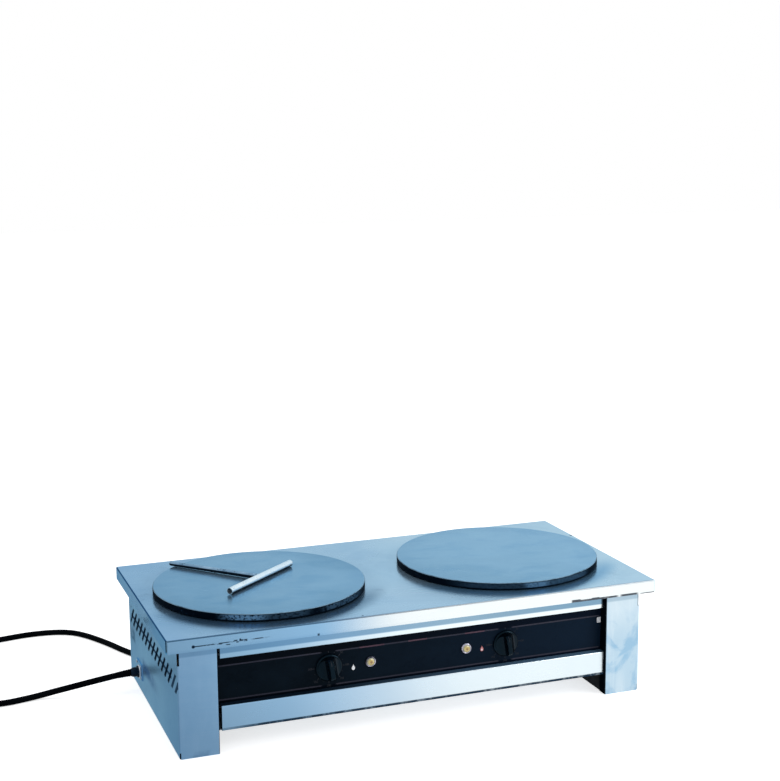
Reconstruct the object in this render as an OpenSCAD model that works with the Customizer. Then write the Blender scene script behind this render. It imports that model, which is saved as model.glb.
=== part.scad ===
// Twin electric crepe maker: folded steel housing, two cast iron plates, two thermostats.
// Origin at the middle of the footprint on the table, +X to the right, +Y to the back, +Z up.

/* [Housing] */
// Width of the top panel
top_w = 950; // [930:1:980]
// Depth of the top panel
top_d = 476; // [466:1:490]
// Height of the worktop above the table
top_h = 226; // [224:1:232]
// Drop of the folded edge round the top panel
edge_drop = 24.5; // [20:0.5:28]
// Overhang of the top panel past each side panel
side_overhang = 22; // [16:1:30]
// Overhang of the top panel past the leg faces
front_overhang = 21; // [16:1:26]
// Overhang of the top panel past the rear panel
rear_overhang = 4; // [3:1:10]
// Thickness of the stainless steel sheet
sheet = 1.5; // [1.2:0.1:1.8]
// Outer radius of the folds in the sheet
fold_r = 2.5; // [2:0.1:3]
// Width of each front leg face
leg_w = 72; // [60:1:76]
// Width of the lips folded inwards along the edges
lip_w = 16; // [12:1:18]

/* [Front] */
// Underside of the lower rail above the table
rail_low = 38; // [34:1:42]
// Top of the lower rail
rail_top = 84.7; // [80:0.1:88]
// Underside of the upper rail
rail_high = 170; // [168:1:171]
// Setback of the upper rail behind the leg faces
upper_setback = 11; // [9:1:14]
// Setback of the lower rail behind the leg faces
lower_setback = 8; // [6:1:11]
// Setback of the control panel behind the leg faces
panel_setback = 22.5; // [20:0.5:25]
// Shift of the rails and the controls to the right of the housing's middle
front_shift = 3.5; // [0:0.5:4]
// Distance of each knob from the middle of the controls
knob_x = 175; // [165:1:185]
// Height of the knobs
knob_z = 124; // [120:1:128]
// Diameter of a knob
knob_d = 50; // [46:1:54]
// Height of a knob off the control panel
knob_reach = 24; // [22:1:26]
// Angle of the grips at off
knob_tilt = 8; // [0:1:12]
// Distance of each pilot lamp from the middle of the controls
lamp_x = 95; // [85:1:105]
// Diameter of a pilot lamp's bezel
lamp_d = 20.6; // [19:0.2:22]

/* [Cooking plates] */
// Diameter of a cooking plate
plate_d = 400; // [396:1:404]
// Distance of each plate's centre from the middle
plate_x = 246; // [238:1:250]
// Place of the plates from front to back
plate_y = -5; // [-8:1:4]
// Depth of the plate's rim
plate_rim = 14; // [13:0.5:16]
// Gap between the rim and the top panel
plate_gap = 1; // [1:0.5:2]
// Thickness of the plate inside its rim
plate_web = 9; // [8:0.5:9]

/* [Vents] */
// Number of slanted slots in each side panel
vent_count = 13; // [9:1:13]
// Distance from slot to slot
vent_pitch = 29.5; // [28:0.5:30]
// Width of a slot
vent_w = 6; // [4:0.5:7]
// Length of a slot between the centres of its round ends
vent_len = 47; // [40:1:50]
// Height of the middle of the slots
vent_z = 133; // [128:1:138]

/* [Mains lead] */
// Diameter of the lead
cord_d = 12; // [10:0.5:12]
// Height of the cable gland
gland_z = 40; // [40:0.5:42]
// Place of the cable gland from front to back
gland_y = 134; // [130:1:140]

/* [Spreader] */
// Length of the crossbar
bar_len = 204; // [180:1:210]
// Outer diameter of the crossbar
bar_d = 13; // [12:0.5:14]
// Length of the handle from the crossbar's axis
handle_len = 211; // [190:1:215]
// Diameter of the handle
handle_d = 9; // [8:0.5:10]

/* [Hidden] */
$fn = 48;
top_under = top_h - sheet;
side_x = top_w / 2 - side_overhang;
leg_y = front_overhang - top_d / 2;
rear_y = top_d / 2 - rear_overhang;
leg_x = side_x - leg_w;
panel_y = leg_y + panel_setback;
upper_y = leg_y + upper_setback;
lower_y = leg_y + lower_setback;
panel_low = rail_top - 5;
panel_top = rail_high + sheet;
panel_half = leg_x + 5;
vent_mid = 22.5;                    // middle of the row of slots, a little behind the housing's own
relief_h = 29;                      // open length of the fold at the top of each leg
foot_h = 12;                        // open length of the fold at the bottom of each leg
relief_w = 4;                       // width of the notch at the top of that fold

plate_top = top_h + plate_gap + plate_rim;
plate_low = top_h + plate_gap;
web_z = plate_top - plate_web;
ring_r = [80, 140];                 // the two turns of the heating element
tube_r = 4;
tube_z = web_z - 2;                 // the element lies half a radius deep in its groove
ring_start = 280;                   // angle where the turns start, near the front
ring_sweep = 340;
pin_rod = 3;                        // radius of the element's terminal pins
stud_x = 60;
stud_y = 90;
stud_r = 4;
STUDS = [for (x = [-stud_x, stud_x], y = [-stud_y, stud_y]) [x, y]];
boss_r = 10;
boss_z = tube_z - tube_r;
clamp_t = 3;
clamp_w = 22;
clamp_len = 272;
tray_r = 172;
tray_t = 1;
tray_z = top_h - 40;
hole_r = tray_r + 1.5;
bearer_w = 40;
bearer_t = 2;
bearer_h = 14;
bearer_z = tray_z - bearer_t;
stud_low = tray_z - 13;
lead_hole = 6;                      // holes for the element's ends in the tray and the insulation
wool_t = 18;

bulb_y = 25;
bulb_half = 35;
grip_half = 4.3;                    // half the thickness of a knob's grip at its thinnest
hollow_r = 20;
shaft_r = 3;
shaft_fit = 0.05;
body_depth = 30;                    // of a thermostat behind its mounting plate
wire_r = 1.4;

pan_z = rail_low + 2 * sheet;       // upper face of the base pan
pan_upstand = 14;
block_at = [-404, gland_y - 32, pan_z];
block_pitch = 12;
rear_screw_in = 10;                 // distance of the rear screws from each side
REAR_SCREW_Z = [60, 130, 200];
BASE_SCREWS = [for (x = [-330, 0, 330]) [x, lower_y + 11]];
GLAND_SCREWS = [for (y = [-19, 19], z = [-7, 15]) [gland_y + y, gland_z + z]];
screw_r = 1.9;
screw_hole_r = 2;
gland_screw_r = 1.6;

gland_x = -side_x - 2;              // outer face of the gland plate
gland_r = 9.3;
gland_len = 17;
shank_r = 8;                        // threaded shank of the gland, through the plate and the panel
shank_len = 14;
relief_x = gland_x - gland_len;     // where the strain relief starts
cord_r = cord_d / 2;

// The lead's route along its middle: out of the strain relief, down to the table, round a wide
// bend at the left and back behind the housing to the coil
ROUTE = [
    [-498, 134, 38], [-520, 135, 35], [-550, 138, 30], [-586, 146, 22], [-616, 156, 14],
    [-644, 161, 8], [-672, 158, 6], [-711, 151, 6], [-762, 155, 6], [-814, 178, 6],
    [-856, 220, 6], [-882, 280, 6], [-886, 342, 6], [-864, 410, 6], [-820, 466, 6],
    [-764, 504, 6], [-712, 520, 6], [-671, 527, 6], [-630, 534, 6], [-590, 534, 6],
    [-556, 527, 6], [-528, 511, 6], [-505, 483, 6], [-482, 442, 6], [-464, 404, 6],
    [-448, 366, 6], [-430, 330, 6], [-406, 298, 6], [-374, 275, 6], [-338, 265, 6],
    [-300, 264, 6]
];
coil_at = [-300, 336];
coil_r = 66;                        // radius at the middle of the turns
TAIL = [[-234, 326, 18], [-234, 345, 18], [-233, 368, 19], [-232, 392, 19.5]];
plug_at = [-232, 392, 19.5];
plug_relief = 28;
plug_body_len = 45;
plug_r = 19.5;
pin_r = 2.4;
pin_len = 19;
pin_gap = 19;

bar_at = [-243, -5];
bar_turn = 40.5;
handle_turn = 131.5;
rest_gap = 0.3;                     // clearance under the loose spreader
bar_z = plate_top + rest_gap + bar_d / 2;

// Helpers -------------------------------------------------------------------------------------

// Extrude a drawing of (x, z) from y0 to y1
module along_y(y0, y1) translate([0, y1, 0]) rotate([90, 0, 0]) linear_extrude(y1 - y0) children();

// Extrude a drawing of (y, z) from x0 to x1
module along_x(x0, x1) translate([x0, 0, 0]) rotate([90, 0, 90]) linear_extrude(x1 - x0) children();

// Straight stretch of folded sheet between two corners
module strip(a, b) translate([min(a[0], b[0]), min(a[1], b[1])]) square([abs(b[0] - a[0]), abs(b[1] - a[1])]);

// Quarter fold with its outside corner at p; turn 0 runs on towards + and +, and so on round
module fold(p, turn) translate(p) rotate(turn) translate([fold_r, fold_r]) intersection() {
    difference() {
        circle(fold_r);
        circle(fold_r - sheet);
    }
    translate([-fold_r, -fold_r]) square(fold_r);
}

// Round-ended slot through a sheet that faces X, leaning back by 45 degrees
module slant_slot(x, y, z) translate([x, y, z]) rotate([45, 0, 0]) rotate([0, 90, 0]) {
    cube([vent_len, vent_w, 4 * sheet], center = true);
    for (e = [-1, 1]) translate([e * vent_len / 2, 0, 0]) cylinder(d = vent_w, h = 4 * sheet, center = true);
}

// Round rod from a to b
module rod(a, b, r) {
    d = b - a;
    l = norm(d);
    translate(a) rotate([0, acos(d[2] / l), atan2(d[1], d[0])]) cylinder(r = r, h = l);
}

// Rod bent at each point of a route, with round corners
module bent_rod(route, r) {
    for (i = [1 : len(route) - 1]) rod(route[i - 1], route[i], r);
    for (i = [1 : len(route) - 2]) translate(route[i]) sphere(r);
}

// Place a part that faces out of the control panel: its +Z points to the front
module on_panel(x) translate([front_shift + x, panel_y, knob_z]) rotate([90, 0, 0]) children();

// Place a part on the cooking plate's centre
module on_plate(s) translate([s * plate_x, plate_y, 0]) children();

// Smooth curve through the points of a route
function spline(p, i, t) =
    let (n = len(p), a = p[max(i - 1, 0)], b = p[i], c = p[min(i + 1, n - 1)], d = p[min(i + 2, n - 1)])
    0.5 * (2 * b + (c - a) * t + (2 * a - 5 * b + 4 * c - d) * t * t + (3 * b - a - 3 * c + d) * t * t * t);
function unit(v) = v / norm(v);
function ring(at, along, r, sides) =
    let (side = unit(cross([0, 0, 1], along)), up = unit(cross(along, side)))
    [for (k = [0 : sides - 1]) at + r * (cos(360 * k / sides) * side + sin(360 * k / sides) * up)];

// Tube swept along a route, with steps rings to each stretch
module sweep(route, r, steps, sides) {
    n = len(route);
    mid = [for (i = [0 : n - 2], k = [0 : steps - 1]) spline(route, i, k / steps), route[n - 1]];
    m = len(mid);
    rings = [for (j = [0 : m - 1]) ring(mid[j], unit(mid[min(j + 1, m - 1)] - mid[max(j - 1, 0)]), r, sides)];
    polyhedron(
        points = [for (q = rings, v = q) v],
        faces = concat(
            [[for (k = [sides - 1 : -1 : 0]) k]],
            [for (j = [0 : m - 2], k = [0 : sides - 1])
                let (a = j * sides + k, b = j * sides + (k + 1) % sides) [a, b, b + sides, a + sides]],
            [[for (k = [0 : sides - 1]) (m - 1) * sides + k]]
        )
    );
}

// Housing -------------------------------------------------------------------------------------

// Flat sheet with a folded edge at both ends, as a drawing across a width
module edged(width) {
    strip([-width / 2 + fold_r, top_under], [width / 2 - fold_r, top_h]);
    for (s = [-1, 1]) {
        fold([s * width / 2, top_h], s < 0 ? 270 : 180);
        strip([s * width / 2, top_h - edge_drop], [s * (width / 2 - sheet), top_h - fold_r]);
    }
}

module top_panel() color("lightsteelblue") difference() {
    union() {
        along_x(-top_w / 2 + fold_r, top_w / 2 - fold_r) edged(top_d);
        along_y(-top_d / 2 + fold_r, top_d / 2 - fold_r) edged(top_w);
    }
    for (s = [-1, 1]) on_plate(s) translate([0, 0, top_under - 1]) cylinder(r = hole_r, h = sheet + 2);
}

// Left panel; the right one is its mirror image
module side_panel(gland) difference() {
    union() {
        along_y(leg_y + fold_r, rear_y - fold_r) {
            strip([-side_x, fold_r], [-side_x + sheet, top_under - fold_r]);
            fold([-side_x, 0], 0);
            fold([-side_x, top_under], 270);
            strip([-side_x + fold_r, 0], [-side_x + lip_w, sheet]);
            strip([-side_x + fold_r, top_under - sheet], [-side_x + lip_w, top_under]);
        }
        // the fold between side and leg stops short at both ends
        translate([0, 0, foot_h]) linear_extrude(top_under - edge_drop - relief_h - foot_h)
            fold([-side_x, leg_y], 0);
        linear_extrude(top_under) {
            strip([-side_x + fold_r, leg_y], [-leg_x - fold_r, leg_y + sheet]);
            fold([-leg_x, leg_y], 90);
            strip([-leg_x - sheet, leg_y + fold_r], [-leg_x, panel_y]);
            fold([-side_x, rear_y], 270);
            strip([-side_x + fold_r, rear_y - sheet], [-side_x + lip_w, rear_y]);
        }
        // foot folded back under the leg
        translate([-side_x + fold_r, leg_y + sheet / 2, 0]) cube([leg_w - fold_r - sheet / 2, lip_w, sheet]);
    }
    translate([-side_x - 1, leg_y - 1, top_under - edge_drop - relief_h])
        cube([relief_w + 1, relief_w + 1, relief_h + 3]);
    for (i = [0 : vent_count - 1])
        slant_slot(-side_x, vent_mid + (i - (vent_count - 1) / 2) * vent_pitch, vent_z);
    for (z = REAR_SCREW_Z) translate([-side_x + rear_screw_in, rear_y - 2 * sheet, z]) rotate([-90, 0, 0])
        cylinder(r = screw_hole_r, h = 3 * sheet);
    if (gland) {
        translate([-side_x - 1, gland_y, gland_z]) rotate([0, 90, 0]) cylinder(r = 10, h = sheet + 2);
        for (p = GLAND_SCREWS) translate([-side_x - 1, p[0], p[1]]) rotate([0, 90, 0])
            cylinder(r = gland_screw_r, h = sheet + 2);
    }
}

module left_side_panel() color("lightsteelblue") side_panel(true);
module right_side_panel() color("lightsteelblue") mirror([1, 0, 0]) side_panel(false);

module rear_panel() color("lightsteelblue") {
    y = rear_y - sheet;
    difference() {
        union() {
            along_x(-side_x + fold_r, side_x - fold_r) {
                strip([y - sheet, rail_low + fold_r], [y, top_under - fold_r]);
                fold([y, rail_low], 90);
                strip([y - lip_w, rail_low], [y - fold_r, rail_low + sheet]);
            }
            // the upper lip runs between those of the side panels
            along_x(-side_x + lip_w, side_x - lip_w) {
                fold([y, top_under], 180);
                strip([y - lip_w, top_under - sheet], [y - fold_r, top_under]);
            }
        }
        // slots behind each plate, square to the panel
        for (s = [-1, 1], i = [-4 : 4]) translate([s * plate_x + i * vent_pitch, y, vent_z]) {
            cube([vent_w, 4 * sheet, vent_len], center = true);
            for (e = [-1, 1]) translate([0, 0, e * vent_len / 2]) rotate([90, 0, 0])
                cylinder(d = vent_w, h = 4 * sheet, center = true);
        }
        for (s = [-1, 1], z = REAR_SCREW_Z) translate([s * (side_x - rear_screw_in), y, z]) rotate([90, 0, 0])
            cylinder(r = screw_hole_r, h = 4, center = true);
    }
}

module base_pan() color("silver") {
    z = rail_low + sheet;
    front = lower_y + fold_r;
    back = rear_y - sheet - fold_r;
    difference() {
        union() {
            translate([-side_x + sheet, front, z]) cube([2 * (side_x - sheet), back - front, sheet]);
            for (s = [-1, 1]) translate([s * (side_x - 1.5 * sheet) - sheet / 2, panel_y + 4, z])
                cube([sheet, back - panel_y - 20, pan_upstand]);
        }
        // notch round the cable gland
        translate([-side_x, gland_y - 22, z - 1]) cube([26, 44, pan_upstand + 2]);
        // clear of the leg returns, and slotted under each plate
        for (s = [-1, 1]) translate([s * (side_x + leg_x) / 2 - leg_w / 2 - 1, front - 1, z - 1])
            cube([leg_w + 2, panel_y - front + 2, sheet + 2]);
        for (s = [-1, 1], i = [-4 : 4], k = [-1, 1])
            translate([s * plate_x + i * vent_pitch, plate_y + k * 60, z])
                cube([vent_w, 70, 4 * sheet], center = true);
        for (p = BASE_SCREWS) translate([p[0], p[1], z - 1]) cylinder(r = screw_hole_r, h = sheet + 2);
    }
}

// Inner wall of the left foot, from the leg back to the rear panel, flanged under the base pan
module foot_channel() color("silver") along_y(panel_y, rear_y - sheet - lip_w) {
    top = rail_low + sheet;
    strip([-leg_x - sheet, fold_r], [-leg_x, top - fold_r]);
    fold([-leg_x, 0], 90);
    fold([-leg_x, top], 180);
    strip([-leg_x - lip_w, 0], [-leg_x - fold_r, sheet]);
    strip([-leg_x - lip_w, rail_low], [-leg_x - fold_r, top]);
}

module left_foot_channel() foot_channel();
module right_foot_channel() mirror([1, 0, 0]) foot_channel();

module upper_rail() color("lightsteelblue") along_x(2 * front_shift - leg_x, leg_x) {
    strip([upper_y, rail_high + fold_r], [upper_y + sheet, top_under - fold_r]);
    fold([upper_y, rail_high], 0);
    fold([upper_y, top_under], 270);
    strip([upper_y + fold_r, rail_high], [panel_y, rail_high + sheet]);
    strip([upper_y + fold_r, top_under - sheet], [upper_y + lip_w, top_under]);
}

module lower_rail() color("lightsteelblue") difference() {
    along_x(2 * front_shift - leg_x, leg_x) {
        strip([lower_y, rail_low + fold_r], [lower_y + sheet, rail_top - fold_r]);
        fold([lower_y, rail_low], 0);
        fold([lower_y, rail_top], 270);
        strip([lower_y + fold_r, rail_low], [lower_y + lip_w, rail_low + sheet]);
        strip([lower_y + fold_r, rail_top - sheet], [panel_y, rail_top]);
    }
    for (p = BASE_SCREWS) translate([p[0], p[1], rail_low - 1]) cylinder(r = screw_hole_r, h = sheet + 2);
}

module control_panel() color("black") difference() {
    translate([-panel_half, panel_y, panel_low]) cube([2 * panel_half, sheet, panel_top - panel_low]);
    for (s = [-1, 1]) {
        on_panel(s * knob_x) translate([0, 0, -sheet - 1]) cylinder(r = 5, h = sheet + 2);
        on_panel(s * lamp_x) translate([0, 0, -sheet - 1]) cylinder(r = 8, h = sheet + 2);
    }
}

// Cooking plates and what heats them ----------------------------------------------------------

module cooking_plate(s) color("dimgray") on_plate(s) {
    r = plate_d / 2;
    difference() {
        union() {
            rotate_extrude($fn = 180) polygon([
                [0, web_z], [188, web_z], [190, plate_low], [r - 1, plate_low], [r, plate_low + 1],
                [r, plate_top - 1.2], [r - 1.2, plate_top], [0, plate_top]
            ]);
            // ribs from the outer turn to the rim, and a boss for each stud
            for (a = [15 : 30 : 345]) rotate(a) translate([ring_r[0] + 8, -2.5, web_z - 3.5])
                cube([189 - ring_r[0] - 8, 5, 4]);
            for (p = STUDS) translate([p[0], p[1], boss_z]) cylinder(r = boss_r, h = web_z - boss_z + 1);
        }
        for (q = ring_r) translate([0, 0, boss_z - 1]) rotate_extrude($fn = 96)
            translate([q - tube_r, 0]) square([2 * tube_r, tube_z - boss_z + 1 + tube_r]);
        rotate(ring_start + 4) translate([ring_r[0], -tube_r, boss_z - 1])
            cube([ring_r[1] - ring_r[0], 2 * tube_r, tube_z - boss_z + 1 + tube_r]);
        for (p = STUDS) translate([p[0], p[1], boss_z - 1]) cylinder(r = stud_r, h = web_z - boss_z + 6);
    }
}

// Sheathed tube in two turns, linked at the front, with a terminal pin down from each end
module element(s) color("darkslategray") on_plate(s) translate([0, 0, tube_z]) {
    for (q = ring_r) {
        rotate(ring_start) rotate_extrude(angle = ring_sweep, $fn = 96) translate([q, 0]) circle(tube_r);
        rotate(ring_start + ring_sweep - 3) translate([q, 0, -56]) cylinder(r = pin_rod, h = 56);
        rotate(ring_start + ring_sweep - 3) translate([q, 0, -68]) cylinder(r = 1.5, h = 13);
    }
    rotate(ring_start + 4) translate([ring_r[0], 0, 0]) rotate([0, 90, 0])
        cylinder(r = tube_r - 0.4, h = ring_r[1] - ring_r[0]);
}

module element_clamps(s) color("silver") on_plate(s) for (k = [-1, 1]) difference() {
    translate([k * stud_x - clamp_w / 2, -clamp_len / 2, boss_z - clamp_t])
        cube([clamp_w, clamp_len, clamp_t]);
    for (y = [-stud_y, stud_y]) translate([k * stud_x, y, boss_z - clamp_t - 1])
        cylinder(r = stud_r + 0.2, h = clamp_t + 2);
}

// Holes that the studs, the element's ends and the capillary need
module plate_holes(z, h, r) {
    for (p = STUDS) translate([p[0], p[1], z]) cylinder(r = r, h = h);
    for (q = ring_r) rotate(ring_start + ring_sweep - 3) translate([q, 0, z]) cylinder(r = lead_hole, h = h);
    translate([-bulb_half, bulb_y, z]) cylinder(r = 2.5, h = h);
}

module heat_tray(s) color("gainsboro") on_plate(s) difference() {
    rotate_extrude($fn = 96) polygon([
        [0, tray_z], [tray_r, tray_z], [tray_r, top_h], [tray_r + 14, top_h],
        [tray_r + 14, top_h + tray_t], [tray_r - tray_t, top_h + tray_t],
        [tray_r - tray_t, tray_z + tray_t], [0, tray_z + tray_t]
    ]);
    plate_holes(tray_z - 1, tray_t + 2, 4.5);
}

module insulation(s) color("ivory") on_plate(s) difference() {
    translate([0, 0, tray_z + tray_t]) cylinder(r = tray_r - tray_t, h = wool_t);
    plate_holes(tray_z, wool_t + 2, 7);
}

module studs(s) color("silver") on_plate(s) for (p = STUDS)
    translate([p[0], p[1], stud_low]) cylinder(r = stud_r, h = web_z + 5 - stud_low);

module spacers(s) color("silver") on_plate(s) for (p = STUDS) translate([p[0], p[1], tray_z + tray_t])
    difference() {
        cylinder(r = 7, h = boss_z - clamp_t - tray_z - tray_t);
        translate([0, 0, -1]) cylinder(r = stud_r, h = 60);
    }

module stud_nuts(s) color("silver") on_plate(s) for (p = STUDS) translate([p[0], p[1], bearer_z]) {
    difference() {
        union() {
            translate([0, 0, -1.6]) cylinder(r = 8, h = 1.6);
            translate([0, 0, -8.1]) cylinder(r = 7.5, h = 6.5, $fn = 6);
        }
        translate([0, 0, -9]) cylinder(r = stud_r, h = 10);
    }
}

module bearer() difference() {
    y0 = upper_y + sheet;
    y1 = rear_y - 2 * sheet;
    union() {
        along_y(y0, y1) {
            strip([-bearer_w / 2, bearer_z], [bearer_w / 2, tray_z]);
            for (e = [-1, 1])
                strip([e * bearer_w / 2, tray_z - bearer_h], [e * (bearer_w / 2 - bearer_t), tray_z]);
        }
        // tabs that meet the upper rail and the rear panel
        for (y = [y0, y1 - bearer_t]) translate([-bearer_w / 2, y, bearer_z]) cube([bearer_w, bearer_t, 26]);
    }
    for (y = [-stud_y, stud_y]) translate([0, plate_y + y, bearer_z - 1])
        cylinder(r = stud_r + 0.5, h = bearer_t + 2);
}

module bearers(s) color("silver") for (k = [-1, 1]) translate([s * plate_x + k * stud_x, 0, 0]) bearer();

// Controls ------------------------------------------------------------------------------------

module knob(s) color("black") on_panel(s * knob_x) rotate(knob_tilt) difference() {
    r = knob_d / 2;
    rotate_extrude($fn = 96) polygon([
        [0, 1], [r - 0.8, 1], [r, 1.8], [r, 3.6], [r - 1, 4.6], [r - 3, 5.4], [r - 3.6, 13],
        [r - 5.5, knob_reach - 4], [r - 9, knob_reach - 0.6], [r - 12, knob_reach], [0, knob_reach]
    ]);
    // a long hollow on each side leaves the grip
    for (e = [-1, 1]) translate([e * (grip_half + hollow_r), -r, hollow_r + 6]) rotate([-90, 0, 0])
        cylinder(r = hollow_r, h = 2 * r, $fn = 96);
    // pointer groove at the top end of the grip
    translate([-0.8, r - 12, knob_reach - 5]) cube([1.6, 14, 8]);
    // hollow back round the boss, and the bore of the shaft
    difference() {
        translate([0, 0, 0.5]) cylinder(r = r - 4, h = 3.5);
        cylinder(r = 8, h = 6);
    }
    cylinder(r = shaft_r, h = 20);
}

module knob_shaft(s) color("silver") on_panel(s * knob_x) difference() {
    translate([0, 0, -sheet - 14]) cylinder(r = shaft_r, h = sheet + 34);
    // flat on the end of the shaft
    translate([2, -4, 6]) cube([3, 8, 20]);
}

module thermostat(s) color("tan") on_panel(s * knob_x) difference() {
    union() {
        translate([0, 0, -sheet - 1.5]) intersection() {
            cylinder(r = 21, h = 1.5);
            translate([-22, -14, 0]) cube([44, 28, 2]);
        }
        translate([0, 0, -sheet - 1.5 - body_depth]) cylinder(r = 16, h = body_depth);
        // terminals at the back
        for (x = [-9, 0, 9]) translate([x - 0.4, -3.2, -sheet - body_depth - 10]) cube([0.8, 6.3, 9]);
    }
    translate([0, 0, -sheet - 16]) cylinder(r = shaft_r + shaft_fit, h = 20);
    for (x = [-14, 14]) translate([x, 0, -sheet - 4]) cylinder(r = 1.5, h = 6);
}

// Bulb against the plate's underside, and the thin tube down to the thermostat
module capillary(s) color("peru") {
    c = [s * plate_x, plate_y, 0];
    z = web_z - 3;
    low = bearer_z - 20;
    rod(c + [-bulb_half + 3, bulb_y, z], c + [bulb_half, bulb_y, z], 3);
    back = panel_y + sheet + 20;
    end_x = front_shift + s * knob_x;
    bent_rod([
        c + [-bulb_half + 3, bulb_y, z], c + [-bulb_half, bulb_y, z], c + [-bulb_half, bulb_y, low],
        [c[0] - bulb_half, back, low], [end_x, back, low], [end_x, back, knob_z + 15.8]
    ], 1);
}

module lamp_lens(s) color("orange", 0.8) on_panel(s * lamp_x) rotate_extrude() polygon([
    [0, 0.5], [7.6, 0.5], [7.6, 3], [6.8, 4.6], [4.6, 6], [2.4, 6.7], [0, 7]
]);

module lamp_body(s) color("silver") on_panel(s * lamp_x) {
    r = lamp_d / 2;
    rotate_extrude() polygon([[7.6, 0], [r, 0], [r, 1.4], [r - 1, 2.8], [r - 2, 3.2], [7.6, 3.2]]);
    translate([0, 0, -26]) cylinder(r = 8, h = 26.5);
    for (x = [-4, 4]) translate([x - 0.4, -2.4, -34]) cube([0.8, 4.8, 9]);
    // spring nut behind the panel
    translate([0, 0, -sheet - 4]) difference() {
        cylinder(r = 11, h = 4, $fn = 6);
        translate([0, 0, -1]) cylinder(r = 8, h = 6);
    }
}

// Electrics on the base pan -------------------------------------------------------------------

module terminal_block() color("white") translate(block_at) difference() {
    union() {
        cube([24, 64, 12]);
        for (i = [0 : 4]) translate([3, 3 + i * block_pitch, 11]) cube([18, 9, 8]);
    }
    for (i = [0 : 4], x = [7, 17]) translate([x, 7.5 + i * block_pitch, 12]) cylinder(r = 2, h = 8);
}

module earth_stud() color("goldenrod") translate([-404, 60, pan_z]) {
    cylinder(r = 3, h = 22);
    cylinder(r = 6.5, h = 1.5);
    translate([0, 0, 1.5]) cylinder(r = 5.8, h = 5, $fn = 6);
}

// A loom along the base pan, with two wires up to each control and lamp
module wiring() color("firebrick") {
    z = pan_z + 9;
    x = block_at[0] + 34;
    y = panel_y + sheet + body_depth + 20;
    bent_rod([[x, block_at[1] + 34, z], [x, y, z], [front_shift + knob_x + 20, y, z]], 4);
    for (i = [0 : 4]) {
        terminal_y = block_at[1] + 5.5 + i * block_pitch;
        rod([block_at[0] + 20, terminal_y, z + 5], [x, block_at[1] + 2 + i * 7, z], wire_r);
        // from the end of the mains lead inside the gland
        if (i % 2 == 0) rod([gland_x + shank_len - 1, gland_y + (i - 2) * 1.5, gland_z + 3],
            [block_at[0] + 4, terminal_y, z + 5], wire_r);
    }
    for (s = [-1, 1], k = [-1, 1]) {
        knob = front_shift + s * knob_x + k * 9;
        lamp = front_shift + s * lamp_x + k * 4;
        bent_rod([[knob, y, z], [knob, y, knob_z], [knob, panel_y + sheet + body_depth + 9, knob_z]], wire_r);
        bent_rod([[lamp, y, z], [lamp, y, knob_z], [lamp, panel_y + 33, knob_z]], wire_r);
    }
}

// Fasteners -----------------------------------------------------------------------------------

// Pan head screw with its head at the origin, pointing down -Z
module screw(r, l) {
    rotate_extrude() polygon([[0, 0], [2 * r, 0], [1.9 * r, 0.8 * r], [1.2 * r, 1.3 * r], [0, 1.4 * r]]);
    translate([0, 0, -l]) cylinder(r = r, h = l);
}

module rear_screws() color("silver") for (s = [-1, 1], z = REAR_SCREW_Z)
    translate([s * (side_x - rear_screw_in), rear_y, z]) rotate([-90, 0, 0]) screw(screw_r, 8);

module base_screws() color("silver") for (p = BASE_SCREWS)
    translate([p[0], p[1], rail_low]) rotate([180, 0, 0]) screw(screw_r, 8);

module gland_screws() color("silver") for (p = GLAND_SCREWS)
    translate([gland_x, p[0], p[1]]) rotate([0, -90, 0]) screw(gland_screw_r, 8);

// Cable entry ---------------------------------------------------------------------------------

module gland_plate() color("silver") difference() {
    translate([gland_x, gland_y - 24, gland_z - 12]) cube([2, 48, 32]);
    translate([gland_x - 1, gland_y, gland_z]) rotate([0, 90, 0]) cylinder(r = shank_r, h = 4);
    for (p = GLAND_SCREWS) translate([gland_x - 1, p[0], p[1]]) rotate([0, 90, 0])
        cylinder(r = gland_screw_r, h = 4);
}

// Along the lead, from the gland outwards: +Z points to -X
module on_gland(x) translate([x, gland_y, gland_z]) rotate([0, -90, 0]) children();

module cable_gland() color("black") on_gland(gland_x) {
    cylinder(r = 11.5, h = 5, $fn = 6);
    rotate_extrude() polygon([
        [0, 5], [gland_r, 5], [gland_r, 11], [gland_r - 1.5, 15.5], [gland_r - 2.4, gland_len], [0, gland_len]
    ]);
    translate([0, 0, -shank_len]) cylinder(r = shank_r, h = shank_len);
}

module gland_locknut() color("black") on_gland(-side_x + sheet) translate([0, 0, -5]) difference() {
    cylinder(r = 13, h = 5, $fn = 6);
    translate([0, 0, -1]) cylinder(r = shank_r, h = 7);
}

// Tapered sleeve, ringed for bending, that leads the cable down a little
module strain_relief() color("black") {
    start = [relief_x, gland_y, gland_z];
    d = ROUTE[0] - start;
    l = norm(d);
    step = l / 6.2;
    translate(start) rotate([0, acos(d[2] / l), atan2(d[1], d[0])]) rotate_extrude() polygon(concat([[0, 0]],
        [for (i = [0 : 5], q = [[0.6, 0], [0.6, 0.62], [0, 0.66], [0, 0.95]])
            [cord_r + 0.6 + q[0] - 0.09 * i, (i + q[1]) * step]],
        [[cord_r + 0.2, l], [0, l]]));
}

module power_cord() color("black") sweep(ROUTE, cord_r, 2, 10);

module cord_coil() color("black") translate([coil_at[0], coil_at[1], 0]) rotate_extrude() polygon([
    [coil_r - cord_d, 0], [coil_r + cord_d, 0], [coil_r + cord_d, cord_d],
    [coil_r + cord_r, 2 * cord_d], [coil_r - cord_r, 2 * cord_d], [coil_r - cord_d, cord_d]
]);

module cord_tail() color("black") sweep(TAIL, cord_r, 1, 10);

// Plug lying beside the coil, its pins to the back
module on_plug() translate(plug_at) rotate([-90, 0, 0]) children();

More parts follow.
